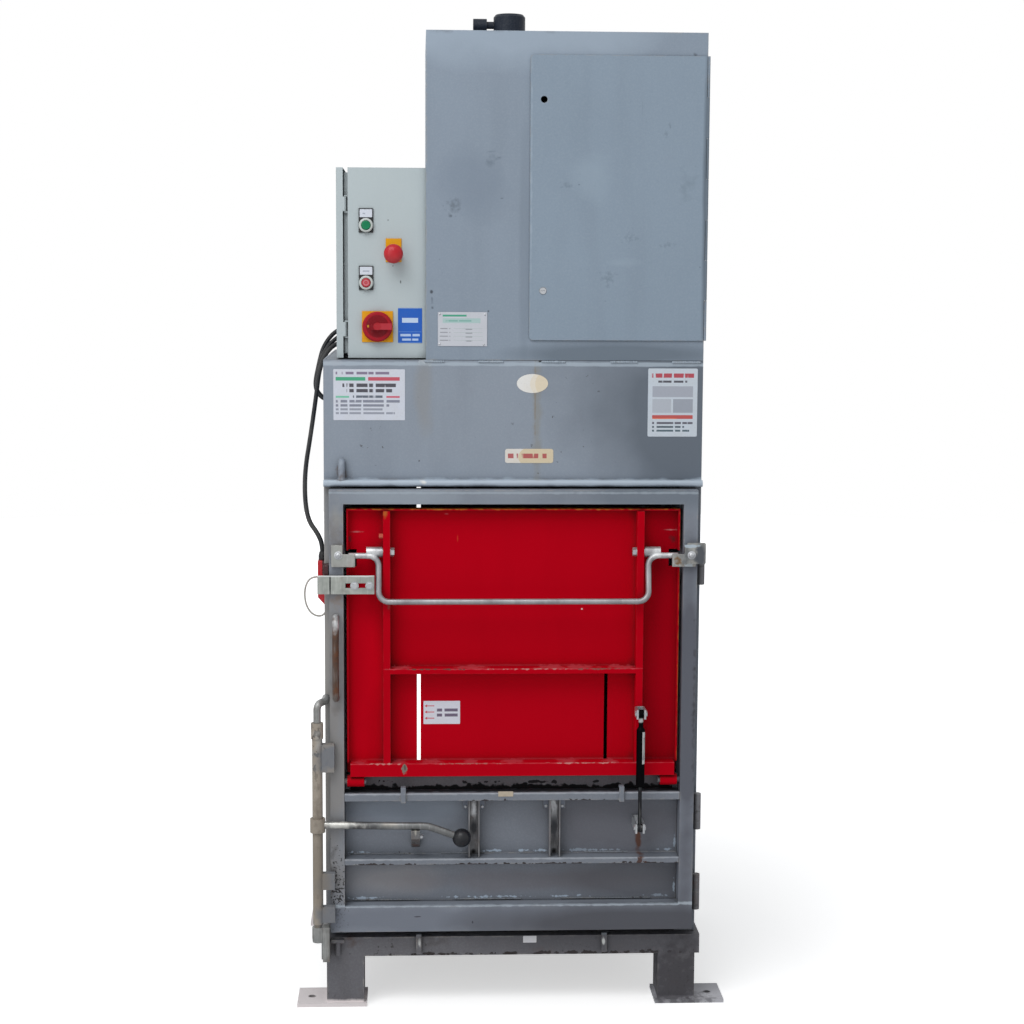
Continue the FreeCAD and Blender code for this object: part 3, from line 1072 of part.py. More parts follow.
def gas_spring():
    """Spring between flap and door. Each end turns on its own pin and the rod runs in the tube."""
    y = "face - spring_y"
    top, foot_z = "spring_top", "spring_foot"
    eye_xs = ("spring_x - eye_half", "2 * eye_half")
    tube = turned([("spring_bore", "-spring_mouth"), ("spring_tube", "-spring_mouth"),
                   ("spring_tube", "-spring_neck"), (5, "-spring_neck + 6"), (5, -5), (0, -5),
                   (0, "-spring_neck"), ("spring_bore", "-spring_neck")], ("spring_x", y, top))
    eye = rod("eye_radius", eye_xs[1], (eye_xs[0], y, top), "x")
    bore = rod("eye_pin + pin_play", eye_xs[1], (eye_xs[0], y, top), "x")
    node(cut(fuse(tube, eye), bore), "spring_tube")
    stem = rod("spring_rod", "spring_rod_length", ("spring_x", y, foot_z))
    eye = rod("eye_radius", eye_xs[1], (eye_xs[0], y, foot_z), "x")
    bore = rod("eye_pin + pin_play", eye_xs[1], (eye_xs[0], y, foot_z), "x")
    node(cut(fuse(stem, eye), bore), "spring_rod")
    for name, z, seat in (("spring_ears", top, "face - door_front"),
                          ("spring_bracket", foot_z, "face - panel_front")):
        pin = rod("eye_pin", "2 * (eye_half + ear_gap + ear_thick) + 6",
                  ("spring_x - eye_half - ear_gap - ear_thick - 3", y, z), "x")
        parts = [pin]
        for side in (LEFT, RIGHT):
            gap = mirrored(side, "eye_half + ear_gap", "eye_half + ear_gap + ear_thick")
            xs = (f"spring_x + {gap[0]}", f"spring_x + {gap[1]}")
            parts.append(box(xs, (f"{y} - ear_half", seat), (f"{z} - ear_half", f"{z} + ear_half")))
        half = "eye_half + ear_gap + ear_thick"
        back = box((f"spring_x - ({half})", f"spring_x + {half}"), (f"{seat} - ear_thick", seat),
                   (f"{z} - ear_half", f"{z} + ear_half"))
        node(fuse(back, *parts), name)


# ---------------------------------------------------------------- lock shaft

def lock():
    at = ("lock_x", "face - lock_y", 0)
    shaft = turned([(0, "socket_low + 4"), ("lock_pin + 1", "socket_low + 4"),
                    ("lock_pin + 1", "lock_low + 1"), ("lock_radius", "lock_low + 5"),
                    ("lock_radius", "lock_high - collar_height"),
                    ("collar_radius", "lock_high - collar_height"), ("collar_radius", "lock_high"),
                    ("lock_pin + pin_play", "lock_high"),
                    ("lock_pin + pin_play", "lock_high - collar_height + 6"),
                    (0, "lock_high - collar_height + 6")], at)
    fingers = []
    for top, tall in (("finger_top", "finger_top_height"), ("finger_mid", "finger_mid_height"),
                      ("finger_low", "finger_low_height")):
        fingers.append(box(("lock_x", "lock_x + finger_reach"),
                           ("face - lock_y - finger_half", "face - door_front - finger_gap"),
                           (f"{top} - {tall}", top)))
    hub = rod("lock_radius + hub_wall", "2 * hub_half",
              ("lock_x", "face - lock_y", "lever_z - hub_half"))
    node(fuse(shaft, hub, *fingers), "lock_shaft")

    face = size("face")
    y = face - size("lock_y")
    hub_edge = size("lock_x") + size("lock_radius") + size("hub_wall")
    knob_z, knob_x = size("knob_z"), size("knob_x")
    lever, _, _ = bent_bar([(hub_edge - 2, y, size("lever_z")),
                            (size("lever_bend_x"), y, size("lever_z") - 4),
                            (knob_x - 14, y, knob_z + 5)], size("lever_radius"), size("lever_bend"))
    hub_hole = rod("lock_radius + hub_wall", "2 * hub_half",
                   ("lock_x", "face - lock_y", "lever_z - hub_half"))
    ball = doc.addObject("Part::Sphere", "ball")
    bind(ball, Radius="knob_radius")
    place(ball, ("knob_x", "face - lock_y", "knob_z"))
    seat = doc.addObject("Part::Sphere", "ball")
    bind(seat, Radius="knob_radius + 0.05")
    place(seat, ("knob_x", "face - lock_y", "knob_z"))
    node(cut(lever, hub_hole, seat), "lock_lever")
    node(ball, "lever_knob")

    x = size("lock_x")
    root = -size("body_half")
    arm, _, _ = bent_bar([(root + 2, face, size("arm_z")), (root + 2, face - 32, size("arm_z")),
                          (x, y, size("arm_z") - 2), (x, y, size("lock_high") + 0.5)],
                         size("arm_radius"), size("arm_bend"))
    pin = rod("lock_pin", "collar_height - 10",
              ("lock_x", "face - lock_y", "lock_high - collar_height + 8"))
    socket = turned([(0, "socket_low"), ("collar_radius - 1", "socket_low"),
                     ("collar_radius", "socket_low + 8"),
                     ("collar_radius", "lock_low - 2"), ("lock_pin + 1 + pin_play", "lock_low - 2"),
                     ("lock_pin + 1 + pin_play", "socket_low + 3.5"), (0, "socket_low + 3.5")], at)
    lug = box(("-base_half", "-door_half - 2"), ("face - lock_y - 8", "face - base_ahead"),
              ("base_top - rail_height + 2", "lock_low - 2"))
    well = rod("collar_radius - 0.5", "lock_low - base_top + rail_height",
               ("lock_x", "face - lock_y", "base_top - rail_height"))
    node(group(fuse(arm, pin_joint(pin)), fuse(socket, cut(lug, well))), "lock_bearings")


def pin_joint(pin):
    """The bearing pin with the short stub that joins it to the arm above the collar."""
    stub = rod("lock_pin", "8", ("lock_x", "face - lock_y", "lock_high - 4"))
    return fuse(pin, stub)


# ---------------------------------------------------------------- build, test and write

base_frame()
chamber()
housing()
cabinet()
ram()
platen()
power_pack()
control_box()
operators()
cables()
door()
hinges()
keepers()
flap()
handle()
interlock()
gas_spring()
lock()

doc.recompute()
for piece in doc.Objects:
    if "Invalid" in piece.State or "Error" in piece.State:
        raise RuntimeError(f"{piece.Name} ({piece.Label}) failed: {piece.State}")
os.makedirs("parts", exist_ok=True)
for piece in NODES:
    shape = piece.Shape
    if shape.isNull() or not shape.isValid() or not shape.Solids:
        raise RuntimeError(f"{piece.Label} has no valid solid")
    shape.exportStep(f"parts/{piece.Label}.step")
    bounds = shape.BoundBox
    print(f"{piece.Label}: {len(shape.Solids)} solid, x {bounds.XMin:.1f}..{bounds.XMax:.1f}, "
          f"y {bounds.YMin:.1f}..{bounds.YMax:.1f}, z {bounds.ZMin:.1f}..{bounds.ZMax:.1f}")
print(len(NODES), "pieces")
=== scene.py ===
import math

import bmesh
import bpy
from mathutils import Matrix, Vector
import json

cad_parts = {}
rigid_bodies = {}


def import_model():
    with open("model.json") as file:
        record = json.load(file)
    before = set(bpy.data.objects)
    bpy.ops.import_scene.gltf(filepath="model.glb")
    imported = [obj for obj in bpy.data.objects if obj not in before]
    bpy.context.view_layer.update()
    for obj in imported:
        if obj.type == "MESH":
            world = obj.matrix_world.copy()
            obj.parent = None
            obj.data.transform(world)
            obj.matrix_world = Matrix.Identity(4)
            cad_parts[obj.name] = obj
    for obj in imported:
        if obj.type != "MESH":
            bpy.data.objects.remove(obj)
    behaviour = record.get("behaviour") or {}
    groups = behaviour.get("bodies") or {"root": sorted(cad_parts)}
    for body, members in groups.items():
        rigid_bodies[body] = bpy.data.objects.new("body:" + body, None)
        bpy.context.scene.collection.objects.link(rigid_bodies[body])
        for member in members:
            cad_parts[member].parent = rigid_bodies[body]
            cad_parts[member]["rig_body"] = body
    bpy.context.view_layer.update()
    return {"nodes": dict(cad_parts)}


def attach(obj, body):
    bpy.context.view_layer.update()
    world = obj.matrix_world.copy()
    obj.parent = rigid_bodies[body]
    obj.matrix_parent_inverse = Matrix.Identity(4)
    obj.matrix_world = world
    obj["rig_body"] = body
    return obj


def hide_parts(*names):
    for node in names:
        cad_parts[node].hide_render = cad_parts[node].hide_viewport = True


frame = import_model()
FACE = -0.270  # the body's front plane, from which the distances below count


# ---- Studio
# A pale floor, a white surround and soft light from above and in front. The camera stands where the
# photographer stood, 4.2 m in front of the baler and a little to its left, looking slightly down.

def colour(code):
    """The linear colour that a shader takes, from a code such as 8694A2."""
    levels = [int(code[i:i + 2], 16) / 255 for i in (0, 2, 4)]
    return tuple(v / 12.92 if v <= 0.04045 else ((v + 0.055) / 1.055) ** 2.4 for v in levels) + (1,)


def placed(name, data):
    """A new object that shows some data."""
    piece = bpy.data.objects.new(name, data)
    bpy.context.scene.collection.objects.link(piece)
    return piece


def add_node(tree, kind, sockets, **settings):
    """The outputs of a new node, with its sockets given values or other nodes' outputs."""
    node = tree.nodes.new(kind)
    for name, value in settings.items():
        setattr(node, name, value)
    for socket, given in sockets.items():
        if isinstance(given, bpy.types.NodeSocket):
            tree.links.new(given, node.inputs[socket])
        else:
            node.inputs[socket].default_value = given
    return node.outputs


world = bpy.data.worlds.new("surround")
bpy.context.scene.world = world
world.use_nodes = True
tree = world.node_tree
tree.nodes["Background"].inputs["Color"].default_value = (1, 1, 1, 1)
shown = tree.nodes["Background"].outputs
lit = add_node(tree, "ShaderNodeBackground", {"Color": (0.95, 0.975, 1, 1), "Strength": 0.4})
rays = add_node(tree, "ShaderNodeLightPath", {})
glossy_too = add_node(tree, "ShaderNodeMath", {0: rays["Is Camera Ray"], 1: rays["Is Glossy Ray"]},
                      operation="MAXIMUM")
clear_too = add_node(tree, "ShaderNodeMath", {0: glossy_too[0], 1: rays["Is Transmission Ray"]},
                     operation="MAXIMUM")
surround = add_node(tree, "ShaderNodeMixShader", {"Fac": clear_too[0], 1: lit[0], 2: shown[0]})
tree.links.new(surround[0], tree.nodes["World Output"].inputs["Surface"])

bpy.ops.mesh.primitive_circle_add(vertices=96, radius=9, fill_type="NGON")
floor = bpy.context.object
floor.name = "floor"
floor_finish = bpy.data.materials.new("floor_finish")
floor_finish.use_nodes = True
tree = floor_finish.node_tree
spot = add_node(tree, "ShaderNodeTexCoord", {})
away = add_node(tree, "ShaderNodeVectorMath", {0: spot["Object"]}, operation="LENGTH")
fade = add_node(tree, "ShaderNodeMapRange", {
    "Value": away["Value"], "From Min": 0.7, "From Max": 2.6, "To Min": 0.55, "To Max": 1})
rays = add_node(tree, "ShaderNodeLightPath", {})
lift = add_node(tree, "ShaderNodeMath", {0: rays["Is Camera Ray"], 1: fade["Result"]}, operation="MULTIPLY")
matt = tree.nodes["Principled BSDF"].inputs
for socket, value in (("Base Color", (0.86, 0.86, 0.86, 1)), ("Emission Color", (1, 1, 1, 1)),
                      ("Roughness", 0.9), ("Specular IOR Level", 0.1)):
    matt[socket].default_value = value
tree.links.new(lift[0], matt["Emission Strength"])
floor.data.materials.append(floor_finish)


def lamp(name, power, width, height, at, aim):
    """A soft box that stands at a point and faces another."""
    light = bpy.data.lights.new(name, "AREA")
    light.shape = "RECTANGLE"
    light.size, light.size_y, light.energy = width, height, power
    stand = placed(name, light)
    stand.location = at
    stand.rotation_euler = (Vector(aim) - Vector(at)).to_track_quat("-Z", "Y").to_euler()


lamp("sky_box", 105, 3.2, 2.4, (-1.5, -2.7, 4.6), (0, 0, 1.2))
lamp("front_box", 26, 2.6, 2.6, (-2.6, -4, 2.2), (0, 0, 1.1))

yaw, pitch, roll = (math.radians(a) for a in (2.711, 6.621, 0.304))
ahead = Vector((math.sin(yaw) * math.cos(pitch), math.cos(yaw) * math.cos(pitch), -math.sin(pitch)))
level = Vector((math.cos(yaw), -math.sin(yaw), 0))
upright = level.cross(ahead)
right = level * math.cos(roll) + upright * math.sin(roll)
top = right.cross(ahead)
camera = placed("camera", bpy.data.cameras.new("camera"))
camera.data.lens, camera.data.sensor_width = 70.3, 36
camera.data.clip_start, camera.data.clip_end = 0.1, 50
camera.matrix_world = Matrix((right, top, -ahead)).transposed().to_4x4()
camera.location = (-0.2018, -4.4755, 1.5594)
bpy.context.scene.camera = camera
bpy.context.scene.view_settings.view_transform = "Standard"


# ---- Base frame
# Rails folded from 4 mm sheet, four square-tube legs on drilled plates, all welded and painted grey.
# The paint is thin, chipped at the edges and rusty near the ground.

def shader(name):
    """A new material: the material, its tree, its shader and the point that its patterns read."""
    material = bpy.data.materials.new(name)
    material.use_nodes = True
    tree = material.node_tree
    return material, tree, tree.nodes["Principled BSDF"], tree.nodes.new("ShaderNodeTexCoord").outputs["Object"]


def between(tree, value, low, high):
    """A value stretched so that it runs from 0 at one level to 1 at another."""
    return add_node(tree, "ShaderNodeMapRange", {"Value": value, "From Min": low, "From Max": high})["Result"]


def cloudy(tree, point, scale, low, high, detail=4, stretch=None):
    """Noise that is 0 below one level and 1 above another."""
    if stretch:
        point = add_node(tree, "ShaderNodeMapping", {"Vector": point, "Scale": stretch})["Vector"]
    noise = add_node(tree, "ShaderNodeTexNoise", {"Vector": point, "Scale": scale, "Detail": detail})
    return between(tree, noise["Fac"], low, high)


def calculated(tree, kind, *values, clamp=False):
    """Math of one kind on two or more values, one after another."""
    made = values[0]
    for value in values[1:]:
        made = add_node(tree, "ShaderNodeMath", {0: made, 1: value}, operation=kind, use_clamp=clamp)[0]
    return made


def times(tree, *values):
    """A product that stays from 0 to 1."""
    return calculated(tree, "MULTIPLY", *values, clamp=True)


def plus(tree, *values):
    """A sum that stays from 0 to 1."""
    return calculated(tree, "ADD", *values, clamp=True)


def over(tree, under, cover, share, code):
    """A colour laid over another where a pattern covers it, by a share from 0 to 1."""
    part = times(tree, cover, share)
    return add_node(tree, "ShaderNodeMix", {0: part, 6: under, 7: colour(code)}, data_type="RGBA")[2]


def patch(tree, point, centre, reach, ragged=0.5, scale=60, fade=None):
    """1 within a ragged patch round a point, 0 outside it. reach is its half size each way, fade its rim."""
    away = add_node(tree, "ShaderNodeVectorMath", {0: point, 1: centre}, operation="SUBTRACT")
    shrunk = add_node(tree, "ShaderNodeVectorMath", {0: away[0], 1: reach}, operation="DIVIDE")
    far = add_node(tree, "ShaderNodeVectorMath", {0: shrunk[0]}, operation="LENGTH")
    noise = cloudy(tree, point, scale, 0.3, 0.7)
    middle = 0.45 + ragged * 0.25
    high, low = (0.5 + ragged * 0.5, 0.35) if fade is None else (middle + fade, middle - fade)
    near = calculated(tree, "ADD", times(tree, noise, ragged), times(tree, far["Value"], 0.5))
    return between(tree, near, high, low)


def marked(tree, point, look, marks):
    """Single marks laid over a look: x, distance before the front plane and z, the half sizes in the same
    order, all in millimetres, then the colour, its share and how patch frays it."""
    for x, out, z, wide, deep, high, code, share, *frayed in marks:
        centre = (x / 1000, FACE - out / 1000, z / 1000)
        cover = patch(tree, point, centre, (wide / 1000, deep / 1000, high / 1000), *frayed)
        look = over(tree, look, cover, share, code)
    return look


def worn_edges(tree, point, reach):
    """1 in broken runs along the outer edges, where paint wears through."""
    soft = add_node(tree, "ShaderNodeBevel", {"Radius": reach}, samples=3)
    real = add_node(tree, "ShaderNodeNewGeometry", {})
    match = add_node(tree, "ShaderNodeVectorMath", {0: soft["Normal"], 1: real["Normal"]},
                     operation="DOT_PRODUCT")
    return times(tree, between(tree, match["Value"], 0.97, 0.86), cloudy(tree, point, 55, 0.45, 0.6))


def corner_dirt_and_shade(tree):
    """1 deep in seams and corners, 0 on open faces: a mask for dirt there and for painted shade."""
    shut = add_node(tree, "ShaderNodeAmbientOcclusion", {"Distance": 0.02}, samples=4)
    return between(tree, shut["AO"], 0.8, 0.3)


def surfaced(tree, gloss, look, rough, height, depth, strength, shine=0.5):
    """Give a shader its colour, roughness, shine and a surface raised by a pattern, its depth in metres."""
    tree.links.new(look, gloss.inputs["Base Color"])
    tree.links.new(rough, gloss.inputs["Roughness"])
    bump = add_node(tree, "ShaderNodeBump", {"Height": height, "Distance": depth, "Strength": strength})
    tree.links.new(bump["Normal"], gloss.inputs["Normal"])
    gloss.inputs["Specular IOR Level"].default_value = shine


def painted(name, coat, rough=0.42, shade="4A4C52", smear=0.3, rust=0, wear=0.004, bare="A8A49E",
            chips=0.66, marks=(), dust=0.04, shine=0.4, dirt_and_shade=0.6, edges=0.8):
    """Sprayed enamel on sheet steel: uneven coat, smears, corner dirt and painted shade, rust, chipped edges,
    single marks.
    """
    material, tree, gloss, point = shader(name)
    tone = cloudy(tree, point, 2.6, 0.3, 0.7, 5)
    look = over(tree, colour(coat), tone, smear, shade)
    streaks = cloudy(tree, point, 5, 0.5, 0.75, 5, (3, 3, 0.4))
    look = over(tree, look, streaks, smear * 0.7, shade)
    look = over(tree, look, cloudy(tree, point, 260, 0.45, 0.7, 2), dust, "D9DDE2")
    flaked = times(tree, cloudy(tree, point, 95, chips, chips + 0.03, stretch=(1, 1, 0.7)),
                   cloudy(tree, point, 6, 0.48, 0.58, 3))
    look = over(tree, look, flaked, 0.8, "3F3C3B")
    bitten = worn_edges(tree, point, wear)
    look = over(tree, look, bitten, edges, bare)
    # Seams and corners darken: dirt, and painted shade standing in for the light that falls off there.
    look = over(tree, look, corner_dirt_and_shade(tree), dirt_and_shade, "23211F")
    if rust:
        eaten = times(tree, cloudy(tree, point, 9, 0.64 - 0.2 * rust, 0.74, 8),
                      cloudy(tree, point, 90, 0.4, 0.6))
        look = over(tree, look, eaten, min(1, rust), "5E4334")
    look = marked(tree, point, look, marks)
    dull = plus(tree, rough, times(tree, tone, 0.16), times(tree, bitten, 0.1))
    skin = cloudy(tree, point, 420, 0.2, 0.8, 2)
    grain = plus(tree, times(tree, skin, 0.3), times(tree, tone, 0.6))
    surfaced(tree, gloss, look, dull, grain, 0.0006, 0.5, shine)
    return material


def meshed(name, shell, material=None):
    """A mesh made of a bmesh, which is freed."""
    mesh = bpy.data.meshes.new(name)
    shell.to_mesh(mesh)
    shell.free()
    if material:
        mesh.materials.append(material)
    return mesh


def finished(node, material, edge=0.8, segments=2):
    """A copy of a CAD node that stands for it, with seams merged and sharp edges rounded, in millimetres."""
    solid = frame["nodes"][node]
    shell = bmesh.new()
    shell.from_mesh(solid.data)
    bmesh.ops.remove_doubles(shell, verts=shell.verts, dist=2e-5)
    bmesh.ops.dissolve_limit(shell, angle_limit=math.radians(0.5), verts=shell.verts, edges=shell.edges)
    mesh = meshed(node + "_finished", shell, material)
    if "custom_normal" in mesh.attributes:
        mesh.attributes.remove(mesh.attributes["custom_normal"])
    for polygon in mesh.polygons:
        polygon.use_smooth = True
        polygon.material_index = 0
    sharp = math.radians(32)
    mesh.set_sharp_from_angle(angle=sharp)
    piece = placed(mesh.name, mesh)
    if edge:
        rounding = piece.modifiers.new("rounding", "BEVEL")
        rounding.width, rounding.segments = edge / 1000, segments
        rounding.limit_method, rounding.angle_limit = "ANGLE", sharp
        rounding.harden_normals = True
    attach(piece, solid["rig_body"])
    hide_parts(node)


foot_marks = [(x, out, 4, 220, 200, 12, code, 0.92, 0.12)
              for x, code in ((-410, "F2EAEA"), (412, "C6C6CC")) for out in (-8, -572)]
# Painted highlights: the bluish band on the rail's upper half and the pale line along its top edge.
# Painted shade: the dark spots in the front foot plates' holes.
base_paint = painted("base_paint", "6C6C72", 0.5, "46423F", 0.4, 0.45, 0.006, chips=0.62, marks=foot_marks + [
    (-450, 84, 4, 50, 12, 20, "5B3A28", 0.85, 0.8, 90, 0.06), (402, 86, 4, 400, 3.5, 20, "1E1B1C", 0.9, 0.2),
    (425, 40, 8, 50, 40, 10, "55545A", 0.35, 1.1, 110, 0.05), (-432, -14, 4, 10, 10, 20, "2A2826", 0.95, 0.1),
    (432, -14, 4, 10, 10, 20, "2A2826", 0.95, 0.1), (250, 27, 140, 360, 30, 50, "47474D", 0.6, 0.2, 3),
    (60, 27, 160, 500, 20, 8, "66727C", 0.5, 0.3, 20), (-198.5, 36, 141, 4, 30, 11, "C9CBC9", 0.9, 0.3),
    (198.5, 36, 141, 4, 30, 11, "C9CBC9", 0.9, 0.3), (-345, 27, 150, 14, 20, 20, "4E3A30", 0.7),
    (-190, 27, 146, 50, 20, 16, "4B4644", 0.5, 0.8), (100, 27, 113.5, 300, 20, 5, "221B1A", 0.9, 1, 70, 0.04),
    (-140, 27, 113.5, 160, 20, 5, "221B1A", 0.9, 1, 70, 0.04), (0, 26, 165, 3000, 20, 4, "7B838C", 0.5, 0.4),
    (358, 27, 50, 90, 60, 120, "3A383D", 0.8, 0.3)])
finished("base_frame", base_paint, 3, 3)


def rounded_field(left, right, foot, head, corner):
    """Points round a field with rounded corners, counter-clockwise as seen from the front."""
    middles = ((right - corner, head - corner, 0), (left + corner, head - corner, 90),
               (left + corner, foot + corner, 180), (right - corner, foot + corner, 270))
    return [(x + corner * math.cos(math.radians(turn)), z + corner * math.sin(math.radians(turn)))
            for x, z, start in middles for turn in range(start, start + 91, 15)]


def sign(name, outline, out, thick, material, body="baler_frame"):
    """A thin plate or sticker, in millimetres: its outline, its back's distance before the front plane."""
    shell = bmesh.new()
    face = shell.faces.new([shell.verts.new((x / 1000, FACE - out / 1000, z / 1000)) for x, z in outline])
    pulled = bmesh.ops.extrude_face_region(shell, geom=[face])["geom"]
    bmesh.ops.translate(shell, verts=[v for v in pulled if isinstance(v, bmesh.types.BMVert)],
                        vec=(0, -thick / 1000, 0))
    bmesh.ops.recalc_face_normals(shell, faces=shell.faces)
    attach(placed(name, meshed(name, shell, material)), body)


def printed(name, ground, fields=(), rough=0.35, aged=0.1, old="B9AE93", shine=0.5):
    """Printed vinyl or sheet: a ground with boxes, discs and broken lines of print, dusty and yellowed."""
    material, tree, gloss, point = shader(name)
    cloud = cloudy(tree, point, 38, 0.35, 0.7)
    look = over(tree, colour(ground), cloud, aged, old)
    spread = add_node(tree, "ShaderNodeSeparateXYZ", {0: point})
    words = cloudy(tree, point, 105, 0.36, 0.4, 0, (1, 0, 0.06))
    for kind, left, right, foot, head, code in fields:
        near = []
        for axis, low, high in (("X", left, right), ("Z", foot, head)):
            middle, half = (low + high) / 2000, (high - low) / 2000
            if kind == "disc":
                away = calculated(tree, "SUBTRACT", spread[axis], middle)
                near.append(calculated(tree, "POWER", calculated(tree, "DIVIDE", away, half), 2))
            else:
                beside = {0: spread[axis], 1: middle, 2: half}
                near.append(add_node(tree, "ShaderNodeMath", beside, operation="COMPARE")[0])
        if kind == "disc":
            cover = calculated(tree, "LESS_THAN", calculated(tree, "ADD", *near), 1)
        else:
            cover = times(tree, *near)
        if kind == "lines":
            cover = times(tree, cover, words)
        look = over(tree, look, cover, 0.92, code)
    look = over(tree, look, cloudy(tree, point, 420, 0.55, 0.75, 2), 0.12, "77797C")
    dull = plus(tree, rough, times(tree, cloud, 0.2))
    surfaced(tree, gloss, look, dull, cloud, 0.0002, 0.3, shine)
    return material


tag_white = printed("tag_white", "D9DADF", aged=0.2)
sign("base_tag", rounded_field(25, 54, 136.5, 151.5, 1), 25.1, 0.4, tag_white)


# ---- Chamber
# Floor with four strap channels, two walls folded outward and ribbed, and a slotted back wall, all of
# 4 mm sheet. The inside is scraped bright by the bales.

chamber_paint = painted("chamber_paint", "848C96", 0.5, "55565A", 0.3, 0.25, 0.004, chips=0.68, marks=[
    (-405, 0, 650, 25, 30, 600, "A5A09A", 0.75, 0.3, 6)])
scraped = painted("scraped_floor", "77797E", 0.42, "4E4843", 0.6, 0.5, 0.006, bare="C9C6C0", chips=0.6)
for wall in ("side_wall_left", "side_wall_right", "back_wall"):
    finished(wall, chamber_paint, 1.5)
finished("chamber_floor", scraped, 1.5)


# ---- Upper housing
# Four-sided housing of 4 mm sheet welded on the chamber. Its front lip hangs over the door and the
# bent hook on its left held a strap. A rust streak runs down from where a sign was riveted.

# Painted highlights: the pale band along the lip and the pale band just under the top seam.
# Painted shade: the dark line under the lip.
housing_paint = painted("housing_paint", "929CA9", 0.44, "626973", 0.22, 0.05, 0.004, chips=0.72, marks=[
    (420, 0, 1270, 360, 50, 400, "5F6873", 0.9, 0.3, 3), (0, 20, 1136, 3000, 30, 10, "B9C6D3", 0.85, 0.3, 20),
    (100, 20, 1124, 200, 30, 2.5, "2A2B2E", 0.8, 0.9), (50, 0, 1260, 12, 20, 160, "8A8678", 0.45, 0.4, 30),
    (45, 0, 1300, 2.5, 20, 100, "857763", 0.55, 0.5), (0, 0, 1383.5, 3000, 20, 5, "AEBBC7", 0.75, 0.2, 30),
    (100, 0, 1391.5, 750, 10, 1.1, "39414A", 0.9, 0.2, 40),
    (-190, 0, 1310, 22, 20, 100, "8E8A82", 0.35, 0.3, 12),
    (-185, 0, 1388.5, 20, 20, 9, "B4BDC4", 0.7, 1, 90, 0.1),
    (54.5, 0, 1389.5, 4.5, 10, 3, "1E2226", 0.95, 0.3), (-362, 0, 1150, 12, 30, 22, "5A4335", 0.85),
    (-190, 20, 1137, 10, 20, 5, "E8E8E4", 0.9), (-374, 0, 1385, 30, 30, 6, "AEB6C0", 0.6, 0.3)])
finished("upper_housing", housing_paint, 1.6)
finished("top_plate", chamber_paint, 1.6)

maker_sign = printed("maker_sign", "D3D8E4", [
    ("lines", -374, -262, 1361, 1366.5, "7A6C86"), ("box", -374, -312, 1348, 1355.5, "12A070"),
    ("box", -306, -240, 1348, 1355.5, "C2344C"), ("lines", -360, -248, 1334.5, 1342, "26202E"),
    ("lines", -352, -256, 1323.5, 1330.5, "26202E"), ("box", -374, -346, 1312, 1316, "6FC3A2"),
    ("lines", -338, -276, 1312, 1317, "4E5866"), ("box", -268, -240, 1312, 1316, "CC5468"),
    ("lines", -374, -240, 1302, 1307.5, "7B7F8F"), ("lines", -374, -262, 1293.5, 1298.5, "7B7F8F"),
    ("lines", -374, -276, 1285.5, 1290, "9297A4"), ("lines", -374, -250, 1277.5, 1282, "9297A4")])
sign("maker_sign", rounded_field(-379, -229, 1265, 1372, 2), 0.1, 0.4, maker_sign)
strap_sign = printed("strap_sign", "CBD5E0", [
    ("lines", 291, 381, 1356, 1365, "B3263A"), ("lines", 305, 367, 1345.5, 1350, "3A3440"),
    ("box", 293, 379, 1315, 1338, "A6ABB7"), ("box", 293, 333, 1282, 1311, "B4BAC4"),
    ("box", 337, 379, 1282, 1311, "9AA0AC"), ("box", 293, 379, 1269, 1277, "BE3A30"),
    ("box", 293, 345, 1269, 1271, "DE6A3E"), ("lines", 293, 379, 1258, 1262.5, "53505E"),
    ("lines", 293, 361, 1250, 1254, "3C4C58"), ("lines", 293, 372, 1242, 1246, "3E5560")])
sign("strap_sign", rounded_field(283.5, 388.5, 1231.5, 1375.5, 3), 0.1, 0.4, strap_sign)
oval_sign = printed("oval_sign", "EBEAE7", [
    ("disc", 34, 86, 1316, 1368, "E9E0D0"), ("disc", 45, 90, 1316, 1368, "E4D6BC")], aged=0.12, old="CDB890")
oval = [(39 + 33 * math.cos(math.radians(a)), 1343 + 20 * math.sin(math.radians(a))) for a in range(0, 360, 10)]
sign("oval_sign", oval, 0.1, 0.4, oval_sign)
force_sign = printed("force_sign", "E4E0DA", [
    ("disc", 10, 110, 1160, 1215, "DCCBAA"), ("lines", -12, 70, 1185, 1195, "B24A4E")], aged=0.2, old="D0BC96")
sign("force_sign", rounded_field(-18, 84, 1175, 1205, 5), 0.1, 0.4, force_sign)


